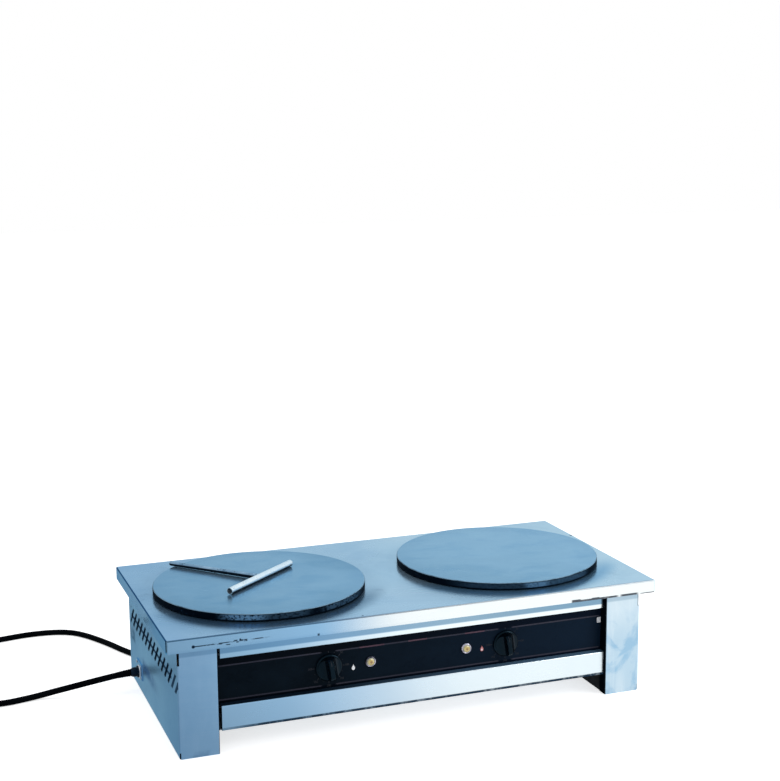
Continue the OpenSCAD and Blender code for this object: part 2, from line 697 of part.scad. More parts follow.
module plug_body() color("black") on_plug() difference() {
    z = plug_relief;
    face = plug_relief + plug_body_len;
    rotate_extrude($fn = 64) polygon([
        [0, 0], [6.8, 0], [8.6, z - 2], [12, z], [14.5, z + 6], [15, z + 20], [plug_r - 0.6, z + 26],
        [plug_r, z + 28], [plug_r, face - 1], [plug_r - 1, face], [0, face]
    ]);
    // grooves at the sides for the socket's guides
    for (s = [-1, 1]) translate([s * plug_r, 0, face]) cube([5, 5.4, 34], center = true);
}

module plug_pins() color("silver") on_plug() for (s = [-1, 1])
    translate([s * pin_gap / 2, 0, plug_relief + plug_body_len]) {
        cylinder(r = pin_r, h = pin_len - 1);
        translate([0, 0, pin_len - 1]) cylinder(r1 = pin_r, r2 = pin_r - 0.9, h = 1);
    }

// Spreader ------------------------------------------------------------------------------------

module on_bar() translate([bar_at[0], bar_at[1], bar_z]) rotate([0, 90, bar_turn]) children();

module spreader_bar() color("gainsboro") on_bar() difference() {
    cylinder(d = bar_d, h = bar_len, center = true);
    cylinder(d = bar_d - 2, h = bar_len + 2, center = true);
}

// Rod with a rounded end, butted against the crossbar and leaning down to the plate
module spreader_handle() color("lightgray") difference() {
    r = handle_d / 2;
    drop = (bar_d - handle_d) / 2;
    translate([bar_at[0], bar_at[1], bar_z]) rotate([0, 90 + asin(drop / handle_len), handle_turn])
        rotate_extrude() polygon([
            [0, 0], [r, 0], [r, handle_len - 3], [r - 0.9, handle_len - 0.6],
            [r - 2.2, handle_len + 0.8], [0, handle_len + 1.4]
        ]);
    on_bar() cylinder(d = bar_d, h = 60, center = true);
}

// Left and right nodes ------------------------------------------------------------------------

module left_cooking_plate() cooking_plate(-1);
module right_cooking_plate() cooking_plate(1);
module left_element() element(-1);
module right_element() element(1);
module left_element_clamps() element_clamps(-1);
module right_element_clamps() element_clamps(1);
module left_heat_tray() heat_tray(-1);
module right_heat_tray() heat_tray(1);
module left_insulation() insulation(-1);
module right_insulation() insulation(1);
module left_studs() studs(-1);
module right_studs() studs(1);
module left_spacers() spacers(-1);
module right_spacers() spacers(1);
module left_stud_nuts() stud_nuts(-1);
module right_stud_nuts() stud_nuts(1);
module left_bearers() bearers(-1);
module right_bearers() bearers(1);
module left_thermostat() thermostat(-1);
module right_thermostat() thermostat(1);
module left_capillary() capillary(-1);
module right_capillary() capillary(1);
module left_knob() knob(-1);
module right_knob() knob(1);
module left_knob_shaft() knob_shaft(-1);
module right_knob_shaft() knob_shaft(1);
module left_lamp_lens() lamp_lens(-1);
module right_lamp_lens() lamp_lens(1);
module left_lamp_body() lamp_body(-1);
module right_lamp_body() lamp_body(1);

top_panel();
left_side_panel();
right_side_panel();
rear_panel();
base_pan();
left_foot_channel();
right_foot_channel();
upper_rail();
lower_rail();
control_panel();
left_cooking_plate();
right_cooking_plate();
left_element();
right_element();
left_element_clamps();
right_element_clamps();
left_heat_tray();
right_heat_tray();
left_insulation();
right_insulation();
left_studs();
right_studs();
left_spacers();
right_spacers();
left_stud_nuts();
right_stud_nuts();
left_bearers();
right_bearers();
left_thermostat();
right_thermostat();
left_capillary();
right_capillary();
left_knob();
right_knob();
left_knob_shaft();
right_knob_shaft();
left_lamp_lens();
right_lamp_lens();
left_lamp_body();
right_lamp_body();
terminal_block();
earth_stud();
wiring();
rear_screws();
base_screws();
gland_plate();
gland_screws();
cable_gland();
gland_locknut();
strain_relief();
power_cord();
cord_coil();
cord_tail();
plug_body();
plug_pins();
spreader_bar();
spreader_handle();
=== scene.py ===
import math

import bmesh
import bpy
from mathutils import Matrix, Vector, noise


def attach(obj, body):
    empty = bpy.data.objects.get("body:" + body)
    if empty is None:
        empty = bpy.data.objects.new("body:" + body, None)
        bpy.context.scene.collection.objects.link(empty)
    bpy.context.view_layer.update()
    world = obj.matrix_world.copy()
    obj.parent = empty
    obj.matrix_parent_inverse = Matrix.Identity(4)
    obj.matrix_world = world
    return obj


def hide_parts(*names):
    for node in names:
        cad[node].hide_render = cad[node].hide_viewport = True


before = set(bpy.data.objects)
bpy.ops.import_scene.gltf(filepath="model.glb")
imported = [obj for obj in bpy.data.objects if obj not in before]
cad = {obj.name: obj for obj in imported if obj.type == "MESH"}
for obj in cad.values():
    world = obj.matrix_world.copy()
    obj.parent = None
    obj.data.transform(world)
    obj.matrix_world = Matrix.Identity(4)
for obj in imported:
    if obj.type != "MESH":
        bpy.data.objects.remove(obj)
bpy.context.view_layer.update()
print("frame loaded,", len(cad), "nodes")

camera = {
    "place": (-0.95339, -2.63691, 1.07879),
    "azimuth": -20.317,
    "elevation": 9.924,
    "roll": -0.448,
    "lens": 68.55,
}


def makeCamera():
    data = bpy.data.cameras.new("camera")
    data.lens = camera["lens"]
    data.sensor_width = 36
    data.clip_start = 0.05
    data.clip_end = 60
    eye = bpy.data.objects.new("camera", data)
    turn = (
        Matrix.Rotation(math.radians(camera["azimuth"]), 4, "Z")
        @ Matrix.Rotation(math.radians(90 - camera["elevation"]), 4, "X")
        @ Matrix.Rotation(math.radians(camera["roll"]), 4, "Z")
    )
    eye.matrix_world = Matrix.Translation(camera["place"]) @ turn
    bpy.context.collection.objects.link(eye)
    bpy.context.scene.camera = eye


makeCamera()
print("camera set")

# Where things sit on the housing, in metres
housing = {
    "panelY": -0.1945,
    "controlsZ": 0.124,
    "knobs": {"left": -0.1715, "right": 0.1785},
    "lamps": {"left": -0.0915, "right": 0.0985},
    "plates": {"left": (-0.246, -0.005), "right": (0.246, -0.005)},
    "plateTop": 0.241,
    "top": 0.226,
}
mm = 0.001


# Small helpers for meshes

def asObject(bm, name, material, sharpOver=32):
    bmesh.ops.recalc_face_normals(bm, faces=bm.faces)
    mesh = bpy.data.meshes.new(name)
    bm.to_mesh(mesh)
    bm.free()
    mesh.materials.append(material)
    mesh.shade_smooth()
    mesh.set_sharp_from_angle(angle=math.radians(sharpOver))
    made = bpy.data.objects.new(name, mesh)
    bpy.context.collection.objects.link(made)
    return made


def fit(piece, body, slotName, *stoodFor):
    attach(piece, body)
    if stoodFor:
        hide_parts(*stoodFor)
    return piece


# Skins rings of points into a tube; it closes on itself where loop is set, and its ends are closed otherwise
def skin(bm, rings, loop=False):
    made = [[bm.verts.new(p) for p in ring] for ring in rings]
    pairs = list(zip(made, made[1:]))
    if loop:
        pairs.append((made[-1], made[0]))
    for a, b in pairs:
        count = len(a)
        for k in range(count):
            bm.faces.new((a[k], a[(k + 1) % count], b[(k + 1) % count], b[k]))
    if not loop:
        bm.faces.new(list(reversed(made[0])))
        bm.faces.new(made[-1])


# Angles of a full turn, in even steps
def around(sides):
    return [2 * math.pi * k / sides for k in range(sides)]


# Point at a radius, height and angle about the local Z of place, in mm
def spun(place, r, z, a):
    return place @ (Vector((r * math.cos(a), r * math.sin(a), z)) * mm)


def asDrawn(r, z, a):
    return r


# Turned form from (radius, height) pairs in mm; shape(r, z, angle) may change a radius
def turned(bm, profile, sides, place, shape=asDrawn):
    skin(bm, [[spun(place, shape(r, z, a), z, a) for a in around(sides)] for r, z in profile])


# Ring from a closed outline of (radius, height) pairs in mm
def ringForm(bm, outline, sides, place, shape=asDrawn):
    skin(bm, [[spun(place, shape(r, z, a), z, a) for r, z in outline] for a in around(sides)], loop=True)


# Round form whose front is a height for each point, in mm, with a turned wall behind it
def relief(bm, radii, angles, height, wall, place):
    front = [[spun(place, r, height(r * math.cos(a), r * math.sin(a)), a) for a in angles] for r in radii]
    skin(bm, front + [[spun(place, r, z, a) for a in angles] for r, z in wall])


# Flat shape of a few points, in mm, given some thickness
def slab(bm, outline, low, high, place):
    skin(bm, [[place @ (Vector((x, y, z)) * mm) for x, y in outline] for z in (low, high)])


# Height at a distance along a line of (distance, height) pairs
def follow(line, at):
    for (a, p), (b, q) in zip(line, line[1:]):
        if at <= b:
            return p + (q - p) * (at - a) / (b - a)
    return line[-1][1]


# The lower of two heights, blended over k where they are close
def softMin(a, b, k):
    h = max(k - abs(a - b), 0) / k
    return min(a, b) - h * h * k / 4


# Catmull-Rom curve through the points
def smoothLine(points, steps):
    p = [Vector(q) for q in points]
    line = []
    for i in range(len(p) - 1):
        a, b, c, d = p[max(i - 1, 0)], p[i], p[i + 1], p[min(i + 2, len(p) - 1)]
        for k in range(steps):
            t = k / steps
            line.append(0.5 * (2 * b + (c - a) * t + (2 * a - 5 * b + 4 * c - d) * t * t
                               + (3 * b - a - 3 * c + d) * t ** 3))
    line.append(p[-1])
    return line


def ease(t):
    t = min(max(t, 0), 1)
    return t * t * (3 - 2 * t)


# Frame on the control panel: X to the right, Y up, Z out to the front
def onPanel(x, z=housing["controlsZ"]):
    return Matrix.Translation((x, housing["panelY"], z)) @ Matrix.Rotation(math.radians(90), 4, "X")


# Small helpers for materials

def startMaterial(name, **values):
    made = bpy.data.materials.new(name)
    made.use_nodes = True
    tree = made.node_tree
    tree.nodes.clear()
    out = tree.nodes.new("ShaderNodeOutputMaterial")
    shader = tree.nodes.new("ShaderNodeBsdfPrincipled")
    tree.links.new(shader.outputs[0], out.inputs[0])
    for socket, value in values.items():
        shader.inputs[socket.replace("_", " ")].default_value = value
    return made, tree, shader


# New node, with its settings, and its inputs linked or given their values
def put(tree, kind, inputs=None, **settings):
    made = tree.nodes.new("ShaderNode" + kind)
    for key, value in settings.items():
        setattr(made, key, value)
    for key, value in (inputs or {}).items():
        if isinstance(value, bpy.types.NodeSocket):
            tree.links.new(value, made.inputs[key])
        else:
            made.inputs[key].default_value = value
    return made


def objectSpace(tree):
    return put(tree, "TexCoord").outputs["Object"]


def feed(tree, shader, **sources):
    for socket, source in sources.items():
        tree.links.new(source, shader.inputs[socket.replace("_", " ")])


def where(tree, scale=(1, 1, 1), turn=(0, 0, 0), shift=(0, 0, 0)):
    turn = [math.radians(t) for t in turn]
    inputs = {"Vector": objectSpace(tree), "Location": shift, "Rotation": turn, "Scale": scale}
    return put(tree, "Mapping", inputs).outputs[0]


def cloud(tree, vector, scale, detail=4, rough=0.5, distort=0):
    inputs = {"Vector": vector, "Scale": scale, "Detail": detail, "Roughness": rough, "Distortion": distort}
    return put(tree, "TexNoise", inputs).outputs["Fac"]


# Runs from toLow to toHigh as the value goes from low to high
def span(tree, value, low, high, toLow=0.0, toHigh=1.0, smooth=False):
    inputs = {"Value": value, "From Min": low, "From Max": high, "To Min": toLow, "To Max": toHigh}
    kind = "SMOOTHSTEP" if smooth else "LINEAR"
    return put(tree, "MapRange", inputs, interpolation_type=kind).outputs["Result"]


def maths(tree, operation, a, b=0.0, clamp=False):
    return put(tree, "Math", {0: a, 1: b}, operation=operation, use_clamp=clamp).outputs[0]


# From colour a to colour b; a colour is a socket or three numbers
def blend(tree, factor, a, b, kind="MIX"):
    a, b = [(*c, 1) if isinstance(c, tuple) else c for c in (a, b)]
    return put(tree, "Mix", {0: factor, 6: a, 7: b}, data_type="RGBA", blend_type=kind).outputs[2]


# From number a to number b
def mix(tree, factor, a, b):
    return put(tree, "Mix", {0: factor, 2: a, 3: b}).outputs[0]


def bump(tree, shader, height, strength, distance, under=None):
    made = put(tree, "Bump", {"Height": height, "Strength": strength, "Distance": distance})
    if under:
        tree.links.new(under, made.inputs["Normal"])
    tree.links.new(made.outputs[0], shader.inputs["Normal"])
    return made.outputs[0]


def axes(tree):
    return put(tree, "SeparateXYZ", {0: objectSpace(tree)}).outputs


# 1 inside low to high along a coordinate, fading over edge at each end
def window(tree, value, low, high, edge):
    up = span(tree, value, low - edge, low, smooth=True)
    down = span(tree, value, high, high + edge, 1.0, 0.0, smooth=True)
    return product(tree, up, down)


def plus(tree, a, b):
    return maths(tree, "ADD", a, b)


def less(tree, a, b):
    return maths(tree, "SUBTRACT", a, b)


def product(tree, *values):
    result = values[0]
    for value in values[1:]:
        result = maths(tree, "MULTIPLY", result, value)
    return result


# Sum held between 0 and 1
def total(tree, *values):
    result = values[0]
    for value in values[1:]:
        result = maths(tree, "ADD", result, value, clamp=True)
    return result


# Distance from a fixed point
def reach(tree, point, spot=None):
    inputs = {0: spot or objectSpace(tree), 1: point}
    return put(tree, "VectorMath", inputs, operation="DISTANCE").outputs["Value"]


def darken(tree, amount, colour, by):
    return blend(tree, amount, colour, by, "MULTIPLY")


# Satin sheet steel: fine grain one way, cloudy wiping marks, a few scratches, slight waviness, and painted
# light: bluer and shaded to the left, paler and lit to the right
sheetSteel = {
    # painted light: the shaded tone at the left end and the lit, paler tone at the right end
    "left": (0.262, 0.480, 0.725),
    "right": (0.47, 0.66, 0.805),
    "dull": (0.74, 0.82, 0.88),
    "worn": (0.80, 0.88, 0.93),
    "grain": (0.80, 0.88, 0.94),
    "edge": (0.77, 0.915, 0.965),
    "grainStretch": 60,
    "grainScale": 700,
    "roughness": (0.24, 0.40),
    "wave": 0.0010,
}


def steelMaterial(name, grainTurn, extra=None, roughness=sheetSteel["roughness"], edge=sheetSteel["edge"]):
    s = sheetSteel
    made, tree, shader = startMaterial(name, Metallic=1.0, Specular_Tint=(*edge, 1), Specular_IOR_Level=0.0)
    low, high = roughness
    stretch = (s["grainScale"] / s["grainStretch"], s["grainScale"], s["grainScale"])
    grain = cloud(tree, where(tree, stretch, grainTurn), 1.0, 3, 0.6)
    wiped = cloud(tree, where(tree, (1, 1, 1.4)), 5.5, 5, 0.62, 0.6)
    patch = cloud(tree, where(tree, shift=(3, 1, 2)), 1.7, 3, 0.5, 0.3)
    scratch = span(tree, cloud(tree, where(tree, (9, 420, 420), (0, 25, 28)), 1.0, 2, 0.5), 0.70, 0.76)
    x = axes(tree)[0]
    # painted light: from the shaded left tone to the lit right tone across the width
    colour = blend(tree, span(tree, x, -0.46, 0.46), s["left"], s["right"])
    colour = darken(tree, span(tree, wiped, 0.62, 0.30, 0.0, 0.65), colour, s["dull"])
    colour = blend(tree, span(tree, patch, 0.48, 0.70, 0.0, 0.22), colour, s["worn"])
    colour = blend(tree, span(tree, grain, 0.35, 0.75, 0.0, 0.05), colour, s["grain"])
    rough = span(tree, wiped, 0.3, 0.7, high, low)
    rough = plus(tree, rough, span(tree, grain, 0.25, 0.75, -0.03, 0.04))
    rough = plus(tree, rough, product(tree, scratch, 0.12))
    if extra:
        colour, rough, metal = extra(tree, colour, rough)
        feed(tree, shader, Metallic=metal)
    feed(tree, shader, Base_Color=colour, Roughness=rough)
    wave = bump(tree, shader, cloud(tree, where(tree), 3.0, 2, 0.4), 1.0, s["wave"])
    bump(tree, shader, plus(tree, grain, product(tree, scratch, -0.8)), 0.06, 0.0004, wave)
    return made


# Worktop: a ring round each plate painted dark as shade and reflection, grime on the folded edge, folds
# painted darker as shade and reflection, front edge painted paler to the right as lit
worktop = {
    "frontY": -0.238,
    "leftX": -0.475,
    # colour of the ring round each plate: painted shade and dark reflection of the plate's rim
    "burnt": {"left": (0.20, 0.31, 0.40), "right": (0.26, 0.52, 0.72)},
    "stain": (0.27, 0.37, 0.45),
    "grime": (0.006, 0.018, 0.042),
    # front edge: painted reflection, bluer on the left and whitish to the right, and painted shade low on the
    # left
    "edgeWhite": (0.85, 0.89, 0.885),
    "edgeLeft": (0.245, 0.455, 0.675),
    "edgeLow": (0.6, 0.72, 0.82),
    # painted shade on the left flange, and the colours of the folds' painted dark reflection
    "leftFlange": (0.36, 0.82, 0.98),
    "leftFold": (0.05, 0.12, 0.22),
    "fold": (0.010, 0.050, 0.115),
    "metal": 0.86,
    # place and size of single dark specks
    "specks": [
        ((0.4705, 0.106, 0.226), 0.0035),
        ((-0.118, -0.231, 0.226), 0.0022),
        ((-0.345, -0.238, 0.2135), 0.0018),
        ((-0.4280, -0.238, 0.2102), 0.0036),
    ],
    # window of x, window of z, fade of each, on the front edge
    "streaks": [
        (-0.4270, -0.3900, 0.2096, 0.2110, 0.0040, 0.0007),
        (-0.3900, -0.3600, 0.2102, 0.2114, 0.0080, 0.0007),
        (-0.3860, -0.3780, 0.2088, 0.2100, 0.0020, 0.0006),
        (-0.3560, -0.3510, 0.2112, 0.2130, 0.0020, 0.0008),
        (-0.3520, -0.3480, 0.2084, 0.2098, 0.0010, 0.0006),
        (-0.3460, -0.3400, 0.2104, 0.2126, 0.0015, 0.0008),
        (-0.3380, -0.3330, 0.2090, 0.2122, 0.0012, 0.0010),
        (-0.3700, -0.3640, 0.2060, 0.2074, 0.0020, 0.0005),
        (-0.3200, -0.2980, 0.2104, 0.2116, 0.0080, 0.0007),
        (0.298, 0.312, 0.2010, 0.2062, 0.004, 0.0008),
        (0.312, 0.388, 0.2010, 0.2046, 0.010, 0.0010),
        (0.340, 0.352, 0.2040, 0.2058, 0.004, 0.0008),
        (0.404, 0.432, 0.2010, 0.2050, 0.008, 0.0010),
        (0.446, 0.474, 0.2010, 0.2030, 0.006, 0.0008),
    ],
}


def worktopWearAndLight(tree, colour, rough):
    w = worktop
    x, y, z = axes(tree)
    flat = span(tree, z, 0.2245, 0.2252)
    # painted shade and reflection: a dark ring round each plate, strongest towards the front
    ringShadeFront = span(tree, y, -0.06, -0.15, 0.10, 1.0, smooth=True)
    for side, (cx, cy) in housing["plates"].items():
        away = reach(tree, (cx, cy, housing["top"]))
        ring = product(tree, span(tree, away, 0.214, 0.250, 1.0, 0.0, smooth=True), ringShadeFront)
        colour = darken(tree, product(tree, ring, flat, 0.80), colour, w["burnt"][side])
        stain = cloud(tree, where(tree, shift=(cx, 0, 0)), 26, 4, 0.62, 0.5)
        spots = product(tree, span(tree, away, 0.20, 0.27, 1.0, 0.0), span(tree, stain, 0.58, 0.66), flat)
        colour = darken(tree, product(tree, spots, 0.30), colour, w["stain"])
        rough = product(tree, rough, span(tree, away, 0.200, 0.310, 0.62, 1.0, smooth=True))
    # front edge, painted paler from the middle to the right as reflected light, and painted darker low on the
    # left as shade
    front = span(tree, y, w["frontY"] + 0.0014, w["frontY"] + 0.0006)
    edge = blend(tree, span(tree, x, -0.215, -0.03, smooth=True), w["edgeLeft"], w["edgeWhite"])
    colour = blend(tree, product(tree, front, 0.9), colour, edge)
    low = product(tree, front, span(tree, z, 0.2075, 0.2020), span(tree, x, 0.1, -0.25))
    colour = darken(tree, product(tree, low, 0.35), colour, w["edgeLow"])
    # painted shade on the left flange, and painted dark reflection on the folds above both flanges
    colour = darken(tree, span(tree, x, w["leftX"] + 0.0022, w["leftX"] + 0.0014), colour, w["leftFlange"])
    bend = span(tree, z, 0.2234, 0.2240)
    foldLeft = product(tree, span(tree, x, w["leftX"] + 0.0021, w["leftX"] + 0.0017), bend)
    colour = darken(tree, product(tree, foldLeft, 0.90), colour, w["leftFold"])
    foldFront = product(tree, span(tree, y, w["frontY"] + 0.0024, w["frontY"] + 0.0019), bend,
                        span(tree, x, -0.26, 0.05, 0.80, 0.45))
    colour = blend(tree, foldFront, colour, w["fold"])
    # grime on the front edge, in the corner's seam and in single specks
    grime = 0.0
    for x0, x1, z0, z1, fadeX, fadeZ in w["streaks"]:
        mark = product(tree, window(tree, x, x0, x1, fadeX), window(tree, z, z0, z1, fadeZ))
        grime = total(tree, mark, grime)
    speck = cloud(tree, where(tree, (90, 90, 260)), 1.0, 4, 0.65)
    broken = total(tree, span(tree, speck, 0.38, 0.46), span(tree, x, 0.2, 0.25, 0.0, 0.85))
    seam = product(tree, span(tree, x, -0.4724, -0.4731), span(tree, z, 0.2030, 0.2060),
                   span(tree, y, -0.2325, -0.2340), span(tree, z, 0.2262, 0.2254))
    tick = product(tree, window(tree, x, -0.2045, -0.2015, 0.001), window(tree, z, 0.190, 0.2045, 0.002),
                   front)
    grime = total(tree, product(tree, grime, front, 0.88, broken), seam, product(tree, tick, 0.8))
    for spot, size in w["specks"]:
        grime = total(tree, grime, span(tree, reach(tree, spot), size, size * 0.6))
    colour = blend(tree, grime, colour, w["grime"])
    rough = plus(tree, rough, product(tree, grime, 0.3))
    clean = less(tree, 1.0, total(tree, grime, product(tree, foldLeft, 0.85), foldFront))
    return colour, rough, product(tree, clean, w["metal"])


# Front rails: painted light and shade: whiter from the middle to the right, a painted shadow greyer under the
# overhang with a painted lighter strip below it, a painted shadow line along the bottom, and the lower lip
# painted dark on the left and lighter to the right
rails = {
    # painted light: the shaded left and lit right tones of the rails' faces
    "left": (0.31, 0.53, 0.755),
    "right": (0.74, 0.81, 0.83),
    # painted shadow under the overhang
    "under": (0.42, 0.55, 0.64),
    "underRight": (0.20, 0.35, 0.48),
    # painted highlight: the lighter strip below that shadow
    "strip": (0.30, 0.52, 0.73),
    "stripRight": (0.78, 0.87, 0.90),
    # lower rail's top lip: painted shade on the left, painted light to the right
    "lip": (0.008, 0.018, 0.035),
    "lipRight": (0.10, 0.19, 0.30),
    "spots": (0.15, 0.2, 0.26),
    # painted shadow line along the lower rail's bottom edge
    "dirt": (0.02, 0.045, 0.08),
}


def frontWearAndLight(tree, colour, rough):
    x, _, z = axes(tree)
    # painted light: whiter from the middle to the right
    face = blend(tree, span(tree, x, -0.30, 0.14, smooth=True), rails["left"], rails["right"])
    colour = blend(tree, 0.86, colour, face)
    # painted shadow under the overhang of the worktop
    upper = span(tree, z, 0.1776, 0.1812, smooth=True)
    shaded = blend(tree, span(tree, x, -0.25, 0.30), rails["under"], rails["underRight"])
    colour = darken(tree, product(tree, upper, 0.92), colour, shaded)
    # painted highlight: a lighter strip below the shadow
    strip = product(tree, span(tree, z, 0.160, 0.165), span(tree, z, 0.1800, 0.1780))
    bright = blend(tree, span(tree, x, -0.33, 0.0, smooth=True), rails["strip"], rails["stripRight"])
    colour = blend(tree, product(tree, strip, 0.75), colour, bright)
    rough = product(tree, rough, span(tree, z, 0.150, 0.165, 1.0, 0.60))
    speck = cloud(tree, where(tree, (120, 120, 160)), 1.0, 3, 0.6)
    spots = product(tree, span(tree, speck, 0.71, 0.75), span(tree, z, 0.060, 0.040))
    colour = darken(tree, product(tree, spots, 0.8), colour, rails["spots"])
    # painted shadow: a dark, broken line along the bottom edge
    nick = cloud(tree, where(tree, (60, 60, 60)), 1.0, 4, 0.6)
    base = product(tree, span(tree, z, 0.0440, 0.0428), span(tree, nick, 0.36, 0.48, 0.70, 1.0),
                   span(tree, x, -0.372, -0.30, 0.4, 1.0))
    colour = blend(tree, base, colour, rails["dirt"])
    # painted shade and light: the top lip dark on the left and lighter to the right
    lip = product(tree, span(tree, z, 0.0838, 0.0844), span(tree, z, 0.100, 0.095))
    lipTint = blend(tree, span(tree, x, -0.20, 0.20), rails["lip"], rails["lipRight"])
    colour = blend(tree, lip, colour, lipTint)
    dull = total(tree, product(tree, base, 0.95), product(tree, lip, 0.8))
    return colour, rough, less(tree, 1.0, dull)


# Side panels and legs: splashes, cloudy streaks, the lead's reflection painted dark behind the gland, and
# painted light and shade on the panels and legs
sides = {
    "outX": 0.453,
    "legY": -0.217,
    "ventPitch": 0.0295,
    "ventMiddle": (0.0225, 0.133),     # y and z
    # painted light: the paler, lit tone of the right side
    "right": (0.47, 0.605, 0.70),
    "shade": (0.72, 0.80, 0.88),
    # the lead's reflection in the steel, painted dark
    "smear": (0.16, 0.28, 0.45),
    "splash": (0.035, 0.105, 0.20),
    "streak": (0.70, 0.82, 0.90),
    "greyed": (0.60, 0.77, 0.89),
    # painted highlight high on the right leg
    "high": (0.76, 0.83, 0.85),
    "pale": (0.75, 0.82, 0.86),
    "scuff": (0.4, 0.5, 0.6),
    "inside": (0.001, 0.003, 0.006),
    # painted shade round the vent slots, and the dark line across them
    "mark": (0.010, 0.032, 0.070),
}


def sideWearAndLight(tree, colour, rough):
    d = sides
    x, y, z = axes(tree)
    blot = cloud(tree, where(tree, (25, 25, 40)), 1.0, 3, 0.6, 0.4)
    # left panel: painted shade towards the front and the bottom, the lead's painted dark reflection, and
    # splashes
    left = span(tree, x, 0.0015 - d["outX"], 0.0008 - d["outX"])
    # painted shade: darker towards the front and the bottom
    frontLow = product(tree, left, span(tree, y, 0.05, -0.20, smooth=True), span(tree, z, 0.19, 0.04))
    colour = darken(tree, product(tree, frontLow, 0.85), colour, d["shade"])
    # painted reflection of the lead, dark behind the gland
    smear = product(tree, left, span(tree, y, -0.060, 0.055, smooth=True),
                    span(tree, y, 0.116, 0.090, smooth=True), window(tree, z, 0.060, 0.066, 0.018),
                    span(tree, blot, 0.25, 0.50, 0.45, 1.0))
    colour = darken(tree, product(tree, smear, 0.85), colour, d["smear"])
    splash = product(tree, window(tree, y, -0.005, 0.055, 0.045), window(tree, z, 0.172, 0.184, 0.014))
    lower = product(tree, window(tree, y, 0.190, 0.212, 0.025), window(tree, z, 0.088, 0.100, 0.014))
    splash = product(tree, total(tree, splash, lower), left, span(tree, blot, 0.33, 0.52))
    colour = blend(tree, product(tree, splash, 0.80), colour, d["splash"])
    # right side painted paler as lit, and the legs' faces: streaks, cloudy patches, scuffs at the foot, a
    # painted highlight high on the right leg and a painted shadow band under the flange
    # painted light: the right side paler
    right = span(tree, x, 0.36, 0.39)
    colour = blend(tree, product(tree, right, 0.85), colour, d["right"])
    legs = span(tree, y, d["legY"] + 0.0015, d["legY"] + 0.0005)
    streak = cloud(tree, where(tree, (38, 1, 5)), 1.0, 4, 0.55, 0.3)
    colour = darken(tree, product(tree, legs, span(tree, streak, 0.60, 0.40), 0.18), colour, d["streak"])
    cloudy = cloud(tree, where(tree, (1, 1, 0.8), shift=(2, 0, 5)), 21, 5, 0.62, 0.8)
    greyed = product(tree, legs, right, span(tree, cloudy, 0.47, 0.60), span(tree, z, 0.185, 0.12, 0.2, 1.0))
    colour = darken(tree, product(tree, greyed, 0.80), colour, d["greyed"])
    # painted highlight: paler towards the top of the right leg
    high = product(tree, legs, right, span(tree, z, 0.10, 0.18, smooth=True), 0.40)
    colour = blend(tree, high, colour, d["high"])
    pale = product(tree, legs, right, span(tree, streak, 0.53, 0.66), 0.26)
    colour = blend(tree, pale, colour, d["pale"])
    # painted shadow: a band under the flange
    under = product(tree, legs, span(tree, z, 0.184, 0.1875, smooth=True))
    colour = darken(tree, product(tree, under, 0.55), colour, rails["under"])
    scuff = product(tree, legs, span(tree, z, 0.014, 0.002), span(tree, blot, 0.45, 0.6))
    colour = darken(tree, product(tree, scuff, 0.5), colour, d["scuff"])
    # shaded inner faces and the leg's inner bend
    across = maths(tree, "ABSOLUTE", x)
    inner = product(tree, span(tree, across, d["outX"] - 0.0003, d["outX"] - 0.0007),
                    span(tree, y, d["legY"] + 0.0010, d["legY"] + 0.0014), span(tree, y, 0.2335, 0.2325))
    colour = blend(tree, inner, colour, d["inside"])
    bend = product(tree, window(tree, across, 0.3770, 0.3822, 0.0004), span(tree, y, 0.02, 0.0))
    colour = blend(tree, product(tree, bend, 0.9), colour, d["inside"])
    # painted shade round each slanted vent slot, and a dark line across their middles
    along = less(tree, plus(tree, y, z), sum(d["ventMiddle"]))
    wave = maths(tree, "COSINE", product(tree, along, 2 * math.pi / d["ventPitch"]))
    nearSlot = span(tree, wave, -0.10, 0.28)
    halo = product(tree, nearSlot, window(tree, z, 0.1175, 0.1490, 0.004), left)
    links = product(tree, window(tree, z, 0.1312, 0.1358, 0.002), window(tree, y, -0.165, 0.205, 0.004), left)
    dirt = total(tree, product(tree, halo, 0.95), product(tree, links, 0.92))
    dirt = product(tree, dirt, span(tree, y, 0.215, 0.205))
    colour = blend(tree, dirt, colour, d["mark"])
    soot = total(tree, product(tree, splash, 0.80), product(tree, smear, 0.62))
    return colour, rough, less(tree, 1.0, total(tree, soot, inner, bend, dirt))


steelTop = steelMaterial("steelTop", (0, 0, 0), worktopWearAndLight)
steelSide = steelMaterial("steelSide", (0, 90, 0), sideWearAndLight, roughness=(0.30, 0.44), edge=(0.60, 0.90, 1.0))
steelFront = steelMaterial("steelFront", (0, 0, 0), frontWearAndLight)
steelRear = steelMaterial("steelRear", (0, 0, 0))
print("sheet steel ready")

# Zinc-coated inner sheet: dull spangles
zinc = {"light": (0.40, 0.47, 0.53), "dark": (0.24, 0.30, 0.36), "haze": (0.20, 0.23, 0.26), "spangle": 90}


def zincMaterial():
    made, tree, shader = startMaterial("zincSheet", Metallic=0.9)
    spots = put(tree, "TexVoronoi", {"Vector": where(tree), "Scale": zinc["spangle"], "Randomness": 1.0})
    tone = put(tree, "SeparateColor", {0: spots.outputs["Color"]}).outputs[0]
    haze = cloud(tree, where(tree), 12, 4)
    colour = blend(tree, tone, zinc["dark"], zinc["light"])
    colour = blend(tree, span(tree, haze, 0.4, 0.7, 0, 0.5), colour, zinc["haze"])
    feed(tree, shader, Base_Color=colour, Roughness=span(tree, tone, 0, 1, 0.42, 0.6))
    bump(tree, shader, tone, 0.05, 0.0005)
    return made


